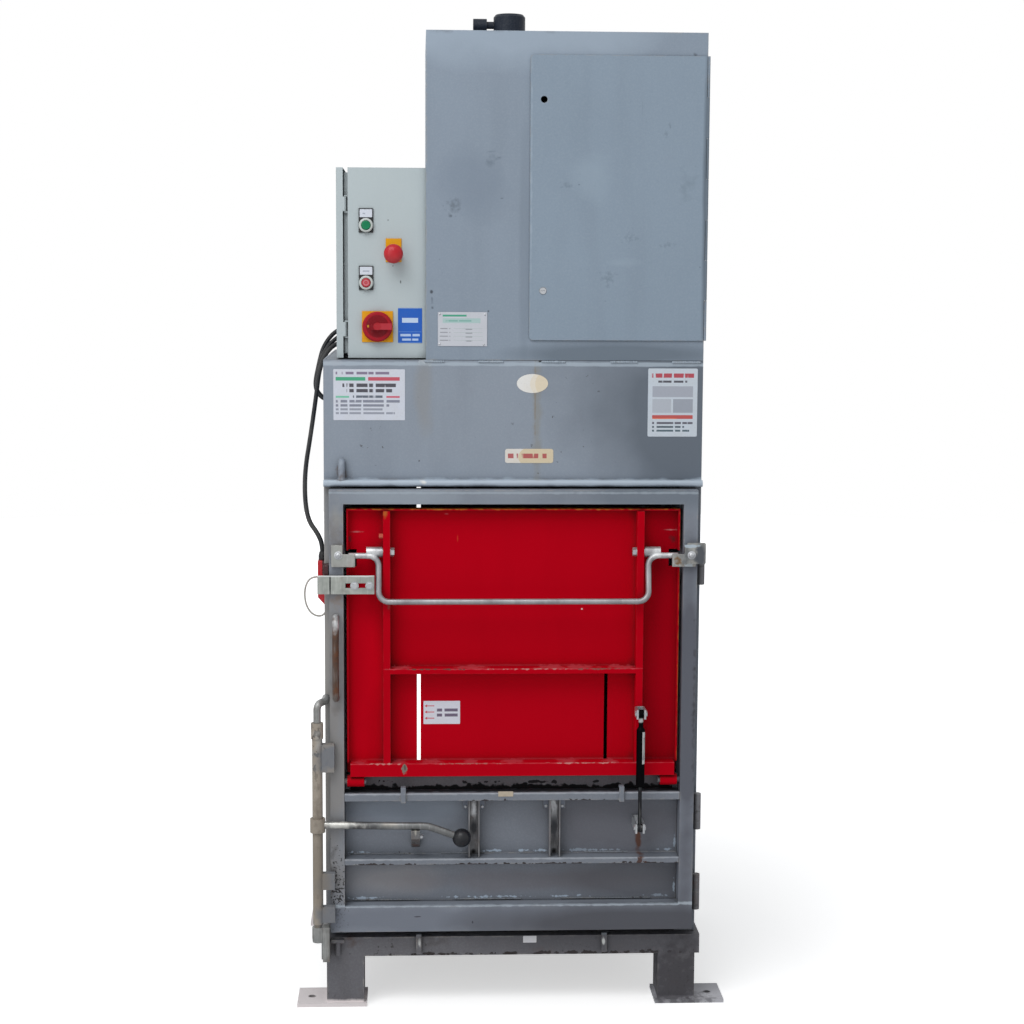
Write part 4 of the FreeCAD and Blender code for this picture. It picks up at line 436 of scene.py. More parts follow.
def weld_tree():
    """Beads of weld metal strung along edges, one tree for every seam on the machine."""
    tree = bpy.data.node_groups.new("weld_bead", "GeometryNodeTree")
    face = tree.interface
    face.new_socket("Geometry", in_out="INPUT", socket_type="NodeSocketGeometry")
    for name, default in (("Width", 0.006), ("Pitch", 0.004)):
        face.new_socket(name, in_out="INPUT", socket_type="NodeSocketFloat").default_value = default
    face.new_socket("Seed", in_out="INPUT", socket_type="NodeSocketInt").default_value = 3
    face.new_socket("Finish", in_out="INPUT", socket_type="NodeSocketMaterial")
    face.new_socket("Geometry", in_out="OUTPUT", socket_type="NodeSocketGeometry")
    given = add_node(tree, "NodeGroupInput", {})
    line = add_node(tree, "GeometryNodeMeshToCurve", {"Mesh": given["Geometry"]})
    even = add_node(tree, "GeometryNodeResampleCurve", {"Curve": line["Curve"], "Length": given["Pitch"]},
                    mode="LENGTH")
    spots = add_node(tree, "GeometryNodeCurveToPoints", {"Curve": even["Curve"]}, mode="EVALUATED")
    drop = add_node(tree, "GeometryNodeMeshUVSphere", {"Segments": 8, "Rings": 5, "Radius": given["Width"]})
    sizes = add_node(tree, "FunctionNodeRandomValue", {
        0: (0.4, 0.36, 0.34), 1: (0.62, 0.5, 0.56), "Seed": given["Seed"]}, data_type="FLOAT_VECTOR")
    beads = add_node(tree, "GeometryNodeInstanceOnPoints", {
        "Points": spots["Points"], "Instance": drop["Mesh"], "Rotation": spots["Rotation"], "Scale": sizes[0]})
    real = add_node(tree, "GeometryNodeRealizeInstances", {"Geometry": beads["Instances"]})
    smooth = add_node(tree, "GeometryNodeSetShadeSmooth", {"Geometry": real["Geometry"]})
    coat = add_node(tree, "GeometryNodeSetMaterial", {
        "Geometry": smooth["Geometry"], "Material": given["Finish"]})
    tree.links.new(coat["Geometry"], tree.nodes.new("NodeGroupOutput").inputs["Geometry"])
    return tree


def grown(name, source, tree, body, slot, **values):
    """The plain mesh that a tree makes of a source mesh, riding on a body."""
    carrier = placed(name + "_source", source)
    step = carrier.modifiers.new("tree", "NODES")
    step.node_group = tree
    for socket in tree.interface.items_tree:
        if socket.in_out == "INPUT" and socket.name in values:
            step[socket.identifier] = values[socket.name]
    bpy.context.view_layer.update()
    solid = carrier.evaluated_get(bpy.context.evaluated_depsgraph_get())
    mesh = bpy.data.meshes.new_from_object(solid)
    bpy.data.objects.remove(carrier)
    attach(placed(name, mesh), body)


def seams(name, runs):
    """A mesh of loose edges, one for each straight run of weld, in millimetres as marks are."""
    points = [(x / 1000, FACE - out / 1000, z / 1000) for run in runs for x, out, z in run]
    mesh = bpy.data.meshes.new(name)
    mesh.from_pydata(points, [(i, i + 1) for i in range(0, len(points), 2)], [])
    return mesh


weld_bead = weld_tree()
bead_paint = painted("bead_paint", "A6B2BE", 0.42, "77818C", 0.25, 0, 0.001, chips=0.8, dirt_and_shade=0.3)
housing_runs = [((x0, 0.5, 1388.5), (x1, 0.5, 1388.5))
                for x0, x1 in ((-186, -148), (-73.5, -24.5), (60, 106), (205, 259), (336, 392))]
housing_runs.append(((-355, -1, 1141), (-369, -1, 1141)))
housing_runs += [((x, -20, 1126.5), (x, -560, 1126.5)) for x in (-399, 399)]
grown("housing_welds", seams("housing_welds", housing_runs), weld_bead, "baler_frame", "body_paint",
      Width=0.006, Pitch=0.0035, Seed=3, Finish=bead_paint)


# ---- Cabinet and its cover
# Cabinet of 3 mm sheet with rounded folds, screwed on the housing. Its cover hangs on a long hinge on
# the right and is held by a turn catch. Grease and old scratches darken it left of the cover; the
# narrow strip by the cover's left edge and the line along the hinge are painted shadow.

cabinet_marks = [(x, 0, z, wide, 20, high, *rest) for x, z, wide, high, *rest in (
    (-85, 1755, 80, 90, "788595", 0.45, 0.3, 8), (-127, 1713, 16, 18, "65707B", 0.75, 1, 110),
    (-133, 1691, 4.5, 3.5, "55606A", 0.8, 0.5), (-50, 1803, 14, 15, "6A7784", 0.7, 1, 80),
    (-33, 1812, 5, 2.6, "626E7A", 0.8, 0.5), (-50, 1824, 11, 2.8, "6A7784", 0.7, 0.7),
    (-26, 1728, 5, 2.2, "56606B", 0.85, 0.4), (-173.4, 1533.4, 3.6, 4.2, "2E343A", 0.85, 0.5),
    (-172.3, 1518.8, 3, 7.5, "5F6B78", 0.7, 0.6), (-171.2, 1500.5, 3, 2.8, "56616C", 0.8, 0.5),
    (-54.5, 1494, 3, 2.6, "3E4650", 0.85, 0.4), (372, 2025, 6, 6, "3E4248", 0.8),
    # Painted shadow: the darker strip along the cover's left edge.
    (20, 1620, 14, 300, "7A8694", 0.5, 0.2, 4), (-153, 2069, 28, 6, "403F40", 0.9),
    (-45, 2069, 28, 5, "403F40", 0.9), (73, 2068, 18, 5, "403F40", 0.9))]
# Painted light from above: the cabinet's top is painted lighter.
cabinet_marks += [(-20, 0, 2060, 400, 300, 90, "9FADBC", 0.7, 0.3, 5),
                  (220, 0, 1405, 260, 30, 30, "66727E", 0.85, 0.2, 3),
                  # Painted shade: the dark line along the hinge on the right.
                  (402, 0, 1730, 6, 20, 320, "5E6A76", 0.85, 0.2, 4)]
cabinet_paint = painted("cabinet_paint", "8C99A8", 0.4, "6A7683", 0.2, 0.03, 0.005, chips=0.74,
                        marks=cabinet_marks)
finished("cabinet_shell", cabinet_paint, 4, 3)
cover_marks = [(x, 4, z, wide, 20, high, *rest) for x, z, wide, high, *rest in (
    (155, 1765, 45, 60, "98A8B7", 0.45, 0.4, 9), (218, 1596, 40, 12, "9AA9B8", 0.4, 0.4, 12),
    (195, 1564, 16, 14, "6D7C89", 0.65, 1.1, 120), (106, 1755, 10, 8, "6D7C89", 0.6, 1.1, 120),
    (133, 1757, 3, 2, "5C6A77", 0.8, 0.4), (240, 1649, 16, 12, "71808D", 0.6, 1.2, 130),
    (321, 1634, 14, 6, "71808D", 0.6, 1.1, 120), (191, 1516, 4, 3, "6A7885", 0.7, 0.6),
    (264, 1918, 1.6, 30, "7C8B99", 0.6, 0.4), (313, 1862, 5, 6, "66747F", 0.7, 0.9, 120),
    (322, 1879, 3, 8, "66747F", 0.7, 0.7, 120), (363, 1757, 22, 30, "788895", 0.45, 0.9, 60),
    (389, 1588, 2, 2, "434D57", 0.8, 0.3), (399, 1501, 4, 5, "22282E", 0.9, 0.5),
    # Painted shade along the hinge on the right, and a painted highlight along the cover's left edge.
    (402, 1700, 12, 500, "5E6A76", 0.85, 0.2, 4), (34, 1740, 2, 300, "A3B1BF", 0.5))]
cover_paint = painted("cover_paint", "8C9CAC", 0.4, "687684", 0.22, 0.02, 0.003, chips=0.76, marks=cover_marks)
finished("access_cover", cover_paint, 0.9)


def metal(name, tone, dark, rough=0.35, share=0.5, scale=30, scratches=0.3, rust=0, depth=0.0003,
          marks=()):
    """Bare or plated steel: cloudy tone, fine scratches, and rust in the hollows where there is any."""
    material, tree, gloss, point = shader(name)
    cloud = cloudy(tree, point, scale, 0.3, 0.7, 6)
    look = over(tree, colour(tone), cloud, share, dark)
    lines = cloudy(tree, point, 220, 0.5, 0.72, 2, (1, 1, 0.12))
    look = over(tree, look, lines, scratches, "DEDEDC")
    if rust:
        eaten = times(tree, cloudy(tree, point, 24, 0.62 - 0.25 * rust, 0.72, 8),
                      cloudy(tree, point, 140, 0.3, 0.6))
        look = over(tree, look, eaten, min(1, rust + 0.3), "6A4128")
    look = marked(tree, point, look, marks)
    dull = plus(tree, rough, times(tree, cloud, 0.22))
    surfaced(tree, gloss, look, dull, plus(tree, times(tree, lines, 0.4), cloud), depth, 0.6)
    gloss.inputs["Metallic"].default_value = 0.55 if rust else 0.85
    return material


zinc = metal("zinc", "C3C6CA", "8B8E92", 0.32, 0.5, 40, 0.3, 0)
finished("cover_catch", zinc, 0.6)


CREASE = math.radians(38)  # turned pieces look round where their faces meet at less than this


def turned(name, outline, at, axis, steps=48, material=None):
    """A turned piece, in millimetres: (radius, distance) points spun about an axis, and its foot's place."""
    shell = bmesh.new()
    corners = [shell.verts.new((r / 1000, 0, along / 1000)) for r, along in outline]
    for a, b in zip(corners, corners[1:]):
        shell.edges.new((a, b))
    bmesh.ops.spin(shell, geom=shell.verts[:] + shell.edges[:], cent=(0, 0, 0), axis=(0, 0, 1),
                   angle=2 * math.pi, steps=steps, use_merge=True, use_duplicate=False)
    bmesh.ops.remove_doubles(shell, verts=shell.verts, dist=1e-6)
    bmesh.ops.recalc_face_normals(shell, faces=shell.faces)
    x, out, z = at
    turn = Vector((0, 0, 1)).rotation_difference(Vector(axis)).to_matrix().to_4x4()
    shift = Matrix.Translation((x / 1000, FACE - out / 1000, z / 1000))
    bmesh.ops.transform(shell, matrix=shift @ turn, verts=shell.verts)
    mesh = meshed(name, shell, material)
    for polygon in mesh.polygons:
        polygon.use_smooth = True
    mesh.set_sharp_from_angle(angle=CREASE)
    return placed(name, mesh)


def fastened(name, outline, at, axis, steps, body, material=zinc):
    """A turned rivet, screw, washer or nut that rides on a body."""
    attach(turned(name, outline, at, axis, steps, material), body)


nameplate = printed("nameplate", "C9CCD4", [
    ("box", -150, -100, 1482.5, 1486.5, "159C78"), ("box", -150, -71, 1469, 1479, "A9C6C4"),
    ("lines", -147, -90, 1472, 1475.5, "7FAFA6")] + [
    ("box", -127, -66, z - 0.3, z + 0.3, "A6B6B4") for z in (1457.5, 1449.5, 1441.5, 1433)] + [
    ("lines", -156, -134, z - 1, z + 1, "8D9098") for z in (1457.5, 1449.5, 1441.5, 1433)] + [
    ("lines", -102, -88, z - 1, z + 1, "8D9098") for z in (1456, 1448, 1440, 1431.5)],
    rough=0.28, aged=0.12, old="A9ADB2")
sign("nameplate", rounded_field(-160, -57, 1421, 1492, 1), 0.1, 1, nameplate)
rivet = [(0, -1), (2.4, -1), (2.4, 0), (2, 1), (1.1, 1.5), (0, 1.6)]
for i, (x, z) in enumerate(((-156, 1488), (-61.5, 1487), (-156.5, 1425.5), (-64, 1424.5))):
    fastened(f"rivet_{i + 1}", rivet, (x, 1, z), (0, -1, 0), 16, "baler_frame")


# ---- Ram and power pack
# The cylinder stands on the top plate with its oil tank, pump motor and valve beside it. Only the
# cylinder's cap and one pipe elbow come through the roof.

black_enamel = painted("black_enamel", "1F2734", 0.38, "101317", 0.4, 0.05, 0.002, chips=0.76, edges=0.3,
                       dust=0.02, shine=0.2)
motor_paint = painted("motor_paint", "3E5C78", 0.38, "25384A", 0.3, 0, 0.002, chips=0.76)
chrome_rod = metal("chrome_rod", "D8DADC", "B6B9BC", 0.1, 0.3, 12, 0.1, 0, 0.0001)
for node in ("cylinder_barrel", "cylinder_cap", "valve_block"):
    finished(node, black_enamel)
for node in ("oil_tank", "pump_motor"):
    finished(node, motor_paint)
finished("oil_pipes", black_enamel)
finished("piston_rod", chrome_rod)
finished("platen", scraped)


# ---- Control box
# Sheet-metal box, powder coated pale grey-green, welded to the cabinet's left side. Its door opens to
# the left on two pin hinges.

box_coat = painted("box_coat", "B9C4C7", 0.46, "98A3A7", 0.15, 0, 0.0025, bare="8F9695", chips=0.8, marks=[
    (-264, -15, 1682, 1.6, 10, 1.8, "4A5052", 0.85, 0.2), (-238, -15, 1554, 1.6, 10, 4, "3F4446", 0.85, 0.2),
    (-254, -15, 1587, 1.8, 10, 1.8, "303234", 0.85, 0.2)])
finished("enclosure_box", box_coat, 1.6)
finished("enclosure_door", box_coat, 1.6)
finished("enclosure_catch", zinc, 0.6)


def plastic(name, tone, shade, rough=0.4, scale=90, share=0.3, depth=0.0002, shine=0.35):
    """Moulded plastic: one tone with faint mottling, fine grain and dust in the roughness."""
    material, tree, gloss, point = shader(name)
    cloud = cloudy(tree, point, scale, 0.3, 0.7)
    dust = cloudy(tree, point, 12, 0.45, 0.75, 6)
    look = over(tree, over(tree, colour(tone), cloud, share, shade), dust, 0.12, "B7B3AA")
    dull = plus(tree, rough, times(tree, dust, 0.25))
    surfaced(tree, gloss, look, dull, cloud, depth, 0.4, shine)
    return material


black_plastic = plastic("black_plastic", "1B1C1F", "0F1011", 0.42)
blue_sign = printed("blue_sign", "0058BC", [
    ("box", -242.5, -194, foot, foot + 0.6, "7FA8DA") for foot in (1449.7, 1427.5, 1498.5)] + [
    ("box", -235, -201.5, 1469, 1479, "C9DCF2"),
    ("lines", -238.5, -198, 1440.5, 1445.5, "B9CFEC"), ("lines", -235, -201, 1431.5, 1436, "B9CFEC")],
    aged=0.05, old="5C86B8")
sign("blue_sign", rounded_field(-243.5, -193, 1426.5, 1499.5, 1), -14.9, 0.4, blue_sign)
finished("contactor_plate", zinc)


# ---- Push buttons, emergency stop and main switch
# 22 mm operators through the box's front: green start and red stop in pale bezels on black carriers,
# a red mushroom over a yellow plate, and a red rotary switch on a square yellow plate.

bezel_grey = plastic("bezel_grey", "C9CFCC", "A9AFAD", 0.3)
yellow = plastic("yellow_plate", "E8A400", "D08E00", 0.45, 30, 0.35, shine=0.2)
green_cap = plastic("green_cap", "128054", "0C5A3A", 0.35, shine=0.25)
ringed_cap = printed("ringed_cap", "AE1A2A", [
    ("disc", -316.4, -303.6, 1545.6, 1558.4, "CC7880"), ("disc", -313.6, -306.4, 1548.4, 1555.6, "AE1A2A"),
    ("disc", -311.8, -308.2, 1550.2, 1553.8, "C45660")], rough=0.34, aged=0.1, old="8E1620")
red_head = plastic("red_head", "C01826", "8E1420", 0.3)
dial_red = printed("dial_red", "A51424", [
    ("disc", -310, -263, 1438, 1485, "7C0818"), ("box", -292, -256, 1455, 1468, "B83640"),
    ("disc", -294.5, -278.5, 1453.5, 1469.5, "AC2630"), ("box", -307.5, -304, 1459.2, 1464, "C9992A")],
    rough=0.4, aged=0.05, old="8A121C", shine=0.2)
finished("switch_bodies", black_plastic, 0.6)
finished("button_bezels", bezel_grey, 0.6)
finished("yellow_plates", yellow, 0.5)
finished("switch_handle", dial_red, 1.6, 3)
finished("start_cap", green_cap)
finished("stop_cap", ringed_cap)
legend = printed("legend", "D5DBE6", [
    ("lines", -317, -303, foot, foot + 3, "A7ADBA") for foot in (1693.5, 1574.5)], aged=0.05)
for name, foot in (("start_legend", 1687.5), ("stop_legend", 1568.5)):
    sign(name, rounded_field(-323, -297, foot, foot + 16.5, 1), -11.9, 0.8, legend)
finished("estop_head", red_head, 1.6, 3)


# ---- Cables
# Three round control cables with black rubber jackets leave glands in the box's back. One runs down to
# the door's safety switch and two go into grommets in the housing. A thin pale wire hangs at the switch.

def strung(name, node, points, radius, material):
    """A cord on one smooth curve. Its points are the route's: x, distance behind the front plane and z."""
    curve = bpy.data.curves.new(name, "CURVE")
    curve.dimensions = "3D"
    line = curve.splines.new("NURBS")
    line.points.add(len(points) - 1)
    for spot, (x, behind, z) in zip(line.points, points):
        spot.co = (x / 1000, FACE + behind / 1000, z / 1000, 1)
    line.order_u = 3
    line.use_endpoint_u = True
    line.resolution_u = 12
    curve.bevel_depth = radius
    curve.bevel_resolution = 5
    curve.use_fill_caps = True
    curve.materials.append(material)
    piece = placed(name, curve)
    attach(piece, "baler_frame")
    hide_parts(node)
    return piece


jacket = plastic("jacket", "191C21", "0D0F12", 0.45, 60, 0.5, shine=0.3)
tether_jacket = plastic("tether_jacket", "BDBBB4", "85827B", 0.5, 60, 0.5)
for name, length, route in (
        ("cable_switch", 0.775, [
            (-330, 340, 1430), (-330, 398, 1430), (-360, 440, 1420), (-400, 434, 1408), (-425, 390, 1368),
            (-432, 320, 1290), (-441, 245, 1208), (-448, 165, 1148), (-446, 100, 1090), (-436, 54, 1046),
            (-415, 30, 1022), (-404, 22, 998), (-404, 22, 966)]),
        ("cable_side", 0.378, [
            (-304, 340, 1430), (-304, 400, 1430), (-342, 456, 1444), (-396, 458, 1424), (-426, 428, 1378),
            (-436, 402, 1334), (-436, 388, 1311), (-426, 381, 1294), (-409, 380, 1284), (-388, 380, 1284)]),
        ("cable_rear", 0.428, [
            (-278, 340, 1430), (-278, 402, 1430), (-322, 466, 1456), (-388, 480, 1446), (-420, 466, 1408),
            (-431, 447, 1365), (-437, 426, 1328), (-437, 413, 1311), (-427, 406, 1294), (-409, 405, 1284),
            (-388, 405, 1284)])):
    cable = strung(name + "_jacket", name, route, 0.005, jacket)
    x, behind, z = route[0]
tether_route = [(-414, 18, 930), (-429, 18, 930), (-441, 16, 912), (-443, 14, 888), (-438, 12, 866),
                (-426, 11, 850), (-408, 12, 845), (-396, 14, 856), (-396, 14, 870)]
tether = strung("tether_wire", "tether_loop", tether_route, 0.002, tether_jacket)
finished("cable_glands", black_plastic, 0.6)
switch_shell = printed("switch_shell", "C31524", [("box", -404.5, -370, 936, 970, "17181B")], rough=0.3,
                       aged=0.15, old="7E1018")
finished("safety_switch", switch_shell, 1.2)


# ---- Bale door
# Frame folded from 4 mm sheet with a bevelled panel, two ribs, strap hooks and two strap guides,
# welded. The paint is rubbed through along the left stile and rust creeps out of the welds.

# Painted highlights: the pale lines along the top edges of the bottom and top rails.
door_paint = painted("door_paint", "8B929D", 0.46, "5E5F66", 0.28, 0.12, 0.006, chips=0.7, marks=[
    (-380, 40, 620, 50, 40, 500, "8E8A86", 0.75, 0.3, 8),
    (-376, 45, 740, 12, 30, 100, "6E6664", 0.5, 0.7, 40), (-373, 45, 1030, 22, 30, 70, "6F665F", 0.5),
    (-372, 45, 890, 14, 30, 30, "8A7462", 0.6, 0.7), (-385, 30, 280, 10, 30, 100, "2B2726", 0.7, 0.9),
    (-373, 45, 250, 22, 20, 80, "1F1D1D", 0.9, 1.75, 190, 0.03),
    (373, 45, 620, 36, 40, 600, "52545E", 0.85, 0.3, 7), (385, 45, 660, 4, 30, 160, "28262A", 0.7, 1),
    (0, 45, 196, 3000, 40, 40, "727884", 0.75, 0.3, 9), (280, 45, 185, 440, 50, 60, "46464C", 0.8, 0.2, 3),
    (0, 45, 1092, 3000, 40, 28, "7F8894", 0.5, 0.2, 3), (-240, 45, 1108, 160, 40, 30, "9CA6B0", 0.5, 0.3, 5),
    (280, 45, 1106, 260, 40, 34, "6B747F", 0.8, 0.3, 5),
    (-373, 45, 1060, 20, 30, 56, "999A99", 0.75, 0.4, 20), (0, 45, 227.5, 3000, 12, 4.5, "B9C4CE", 0.75, 0.3),
    (-205, 45, 203, 12, 30, 2, "35323A", 0.8, 0.4, 110, 0.05),
    (-85, 45, 190, 2, 30, 4, "35323A", 0.8, 0.3, 110, 0.05), (0, 45, 1116, 3000, 20, 3, "A6B2BC", 0.6, 0.4)])
panel_marks = [(x, 6.2, z, wide, 10, 3.2, "B4C4D4", 0.9, 0.9, 110, 0.1) for x, z, wide in (
    (-325, 335, 30), (-40, 336, 55), (-70, 335, 40), (40, 336, 50), (150, 336, 40), (200, 336, 35),
    (335, 336, 25), (-310, 233.5, 40), (-120, 234, 50), (-20, 234, 60), (120, 234, 50), (320, 234, 30))]
panel_marks += [(x, 30, 333.5, wide, 30, 3, "251F1F", 0.85, 1, 80, 0.04)
                for x, wide in ((-260, 70), (-130, 30))]
panel_marks += [(x, 45, z, wide, 20, 3.5, "2B2221", 0.95, 1, 90, 0.04) for x, z, wide in (
    (-300, 317.5, 50), (-220, 317.5, 30), (-80, 317.5, 90), (80, 317.5, 100), (280, 317.5, 100),
    (-50, 456.5, 60), (160, 456.5, 40))]
# Painted highlights: pale lines along the front top edges of the two ribs.
panel_marks += [(0, 45, z, 3000, 6, 3.5, "AEB4BC", 0.7, 0.4) for z in (329.5, 472.5)]
panel_marks += [
    (-220, 6, 430, 200, 20, 50, "A2AEBE", 0.45, 0.3, 5), (-270, 6, 275, 150, 20, 50, "A09D9E", 0.55, 0.3, 5),
    (100, 6, 270, 400, 20, 30, "716C71", 0.45, 0.3, 9), (280, 6, 270, 300, 30, 60, "505056", 0.6, 0.2, 4),
    (240, 6, 400, 260, 20, 90, "55535A", 0.6, 0.3, 5),
    (353, 6, 355, 3, 20, 16, "A9B8C6", 0.8, 0.7, 110, 0.1),
    (353, 6, 252, 3, 20, 20, "A9B8C6", 0.8, 0.7, 110, 0.1),
    (274, 10, 362, 7.5, 12, 42, "54301F", 0.95, 0.25),
    (274, 45, 322, 16, 20, 12, "452619", 0.9, 0.7, 110, 0.06),
    (276, 30, 330.5, 10, 30, 3, "5A3524", 0.9, 0.6), (-207, 20, 348, 12, 20, 8, "7A4426", 0.8, 0.7),
    # The near-black band on the top rib's upper face: dirt on the ledge and painted shade under the flap.
    (0, 22, 472.8, 6000, 19, 2.2, "17161A", 0.92, 0.25, 60)]
panel_marks += [(x, 10, 440, 10, 4, 16, "7C818C", 1, 0.05) for x in (-98, -66, 74, 108)]
panel_paint = painted("panel_paint", "7C828C", 0.44, "5F6168", 0.22, 0.06, 0.006, chips=0.8, dirt_and_shade=0.5,
                      marks=panel_marks)
# The strip's lower part is near-black with a ragged top: dirt and painted shade in the gap under the flap.
sill_paint = painted("sill_paint", "77767B", 0.7, "4A4A4F", 0.5, 0.05, 0.003, chips=0.8, shine=0.1, marks=[
    (0, 10, 464, 6000, 30, 23.5, "0A0A0C", 0.98, 0.3, 55, 0.03),
    (-275, 10, 490.5, 16, 30, 4, "101012", 0.9, 1, 80, 0.04)] + [
    (x, 10, z, wide, 30, 5, "101012", 0.9, 0.8, 60, 0.04) for x, z, wide in (
        (-70, 488, 40), (60, 488, 50), (180, 488.5, 24))] + [(70, 10, 483, 6, 30, 3, "8E8E92", 0.9, 0.5)])
finished("door_frame", door_paint, 3.5, 3)
finished("door_panel", panel_paint, 2.2, 3)
finished("sill_strip", sill_paint)
beige_tag = printed("beige_tag", "C9BCA8", aged=0.5, old="8E7F6B")
sign("rib_tag", rounded_field(-31, 1, 465.5, 476.5, 1), 45.1, 0.8, beige_tag, body="bale_door")
# Painted highlights: the pale bands near the pull's upper and lower ends.
pull_steel = metal("pull_steel", "5C4C44", "38281F", 0.5, 0.7, 30, 0.1, 0.8, 0.0008, marks=[
    (-374, 60, 846, 12, 40, 22, "C6C9CB", 0.95, 0.4), (-374, 60, 684, 12, 40, 14, "8B8682", 0.7, 0.6)])
rest_paint = painted("rest_paint", "77787A", 0.5, "3B3532", 0.5, 0.9, 0.003, chips=0.58, marks=[
    (-207, 30, 345, 12, 40, 12, "6E3F26", 0.85, 0.6), (-207, 66, 395, 3, 12, 12, "B5B1A6", 0.8, 0.4)])
guide_marks = []
# Painted light in each guide's channel: a highlight at the top, shade below it and near-black shade at the
# bottom.
for middle in (-82, 91):
    guide_marks += [(middle, 8, 430, 7.5, 6, 30, "F2F5F8", 0.95, 0.4),
                    (middle, 8, 385, 9, 6, 28, "3C3E42", 0.9, 0.3),
                    (middle, 20, 335, 9, 20, 10, "060607", 1, 0.1)]
    guide_marks += [(middle + aside, 8, 440, 6.6, 6, 20, "747A86", 1, 0.05) for aside in (-18, 18)]
# The right guide's channel is painted darker still.
guide_marks.append((91, 8, 390, 9, 8, 50, "4A4C52", 0.6, 0.3))
guide_steel = metal("guide_steel", "8B8C90", "4A4643", 0.4, 0.7, 22, 0.2, 0.25, marks=guide_marks)
for node, coat, slot in (("strap_guides", guide_steel, "bare_steel"), ("door_pull", pull_steel, "rusty_steel"),
                         ("lever_rest", rest_paint, "rusty_steel"), ("spring_bracket", zinc, "zinc_steel")):
    finished(node, coat)


def hexagon(flats, height):
    """The outline of a hexagon head or nut for a spin in six steps: a chamfered prism on its seat."""
    corner = flats / math.sqrt(3)
    return [(0, 0), (corner, 0), (corner, height * 0.85), (corner * 0.88, height), (0, height)]


fastened("rest_bolt", hexagon(10, 6), (-197.5, 40, 378), (1, 0, 0), 6, "bale_door")
guide_rivet = [(0, -0.5), (3.4, -0.5), (3.4, 0.4), (2.4, 1.6), (0, 2)]
for i, (x, z) in enumerate(((-99.5, 434), (-64, 434), (73.5, 434.5), (108.5, 434.5))):
    fastened(f"guide_rivet_{i + 1}", guide_rivet, (x, 9, z), (0, -1, 0), 20, "bale_door")
hinge_coat = painted("hinge_coat", "85868B", 0.45, "3A3534", 0.6, 0.6, 0.003, chips=0.6)
finished("hinge_posts", hinge_coat, 1)
finished("hinge_sleeves", hinge_coat, 1)
keeper_steel = metal("keeper_steel", "A6A7A4", "726F69", 0.42, 0.6, 26, 0.2, 0.15, marks=[
    (366, 55, 985, 30, 30, 30, "6A6E72", 0.8, 0.5, 60, 0.15), (392, 55, 985, 14, 30, 40, "484D55", 0.9, 0.2),
    (349, 55, 974, 11, 30, 12, "7A5A36", 0.9, 0.7, 70, 0.12),
    (372, 55, 1005, 30, 30, 4, "B4C2CC", 0.9, 0.9, 90, 0.1),
    (370, 55, 964, 20, 30, 4, "A9B2B8", 0.8, 0.9, 90, 0.1), (-365, 55, 985, 30, 30, 30, "A3A7A2", 0.5, 0.5)])
finished("flap_keepers", keeper_steel, 1.2)
sign("keeper_strap", rounded_field(364, 403.5, 967, 1012, 3), 57.1, 2.5, keeper_steel,
     "bale_door")
pan_head = [(0, -1), (6.2, -1), (6.2, 0.8), (5.4, 2.4), (3.4, 3.4), (1.4, 3.6), (1, 2.4), (0, 2.4)]
washer = [(4.5, 0), (8.6, 0), (8.6, 1.2), (8, 1.5), (4.5, 1.5), (4.5, 0)]
for i, (x, seat) in enumerate(((-368, 57), (373.5, 59.6))):
    for kind, outline, out in (("screw", pan_head, seat + 1.5), ("washer", washer, seat)):
        fastened(f"keeper_{kind}_{i + 1}", outline, (x, out, 986), (0, -1, 0), 24, "bale_door")
weld_paint = painted("weld_paint", "8E959E", 0.4, "3C3B3D", 0.5, 0.2, 0.002, chips=0.6)
door_runs = [((x0, out, z), (x1, out, z)) for out, z, spans in (
    (6, 331, ((-345, -225), (-150, -60), (20, 80), (160, 250))),
    (6.2, 229, ((-340, -200), (-120, 20), (110, 300))),
    (6, 474, ((-350, -300), (290, 340)))) for x0, x1 in spans]
grown("door_beads", seams("door_beads", door_runs), weld_bead, "bale_door", "grey_paint",
      Width=0.005, Pitch=0.0032, Seed=5, Finish=weld_paint)


# ---- Loading flap
# Red flap of 4 mm sheet with flat-bar frame and ribs, hinged at its lower edge. Enamel, chipped along
# the ribs and scraped by cartons at the top.

flap_marks = [(x, 28, 742.5, wide, 30, 3.4, "C8505A", 0.65, 0.45, 90, 0.06)
              for x, wide in ((-240, 28), (-88, 40), (82, 40), (145, 44), (232, 42))]
flap_marks += [(x, 28, 538.5, wide, 30, 3.2, "C24C58", 0.6, 0.5, 90, 0.06) for x, wide in (
    (-325, 22), (-240, 22), (-170, 26), (-90, 20), (6, 30), (120, 30), (210, 20))]
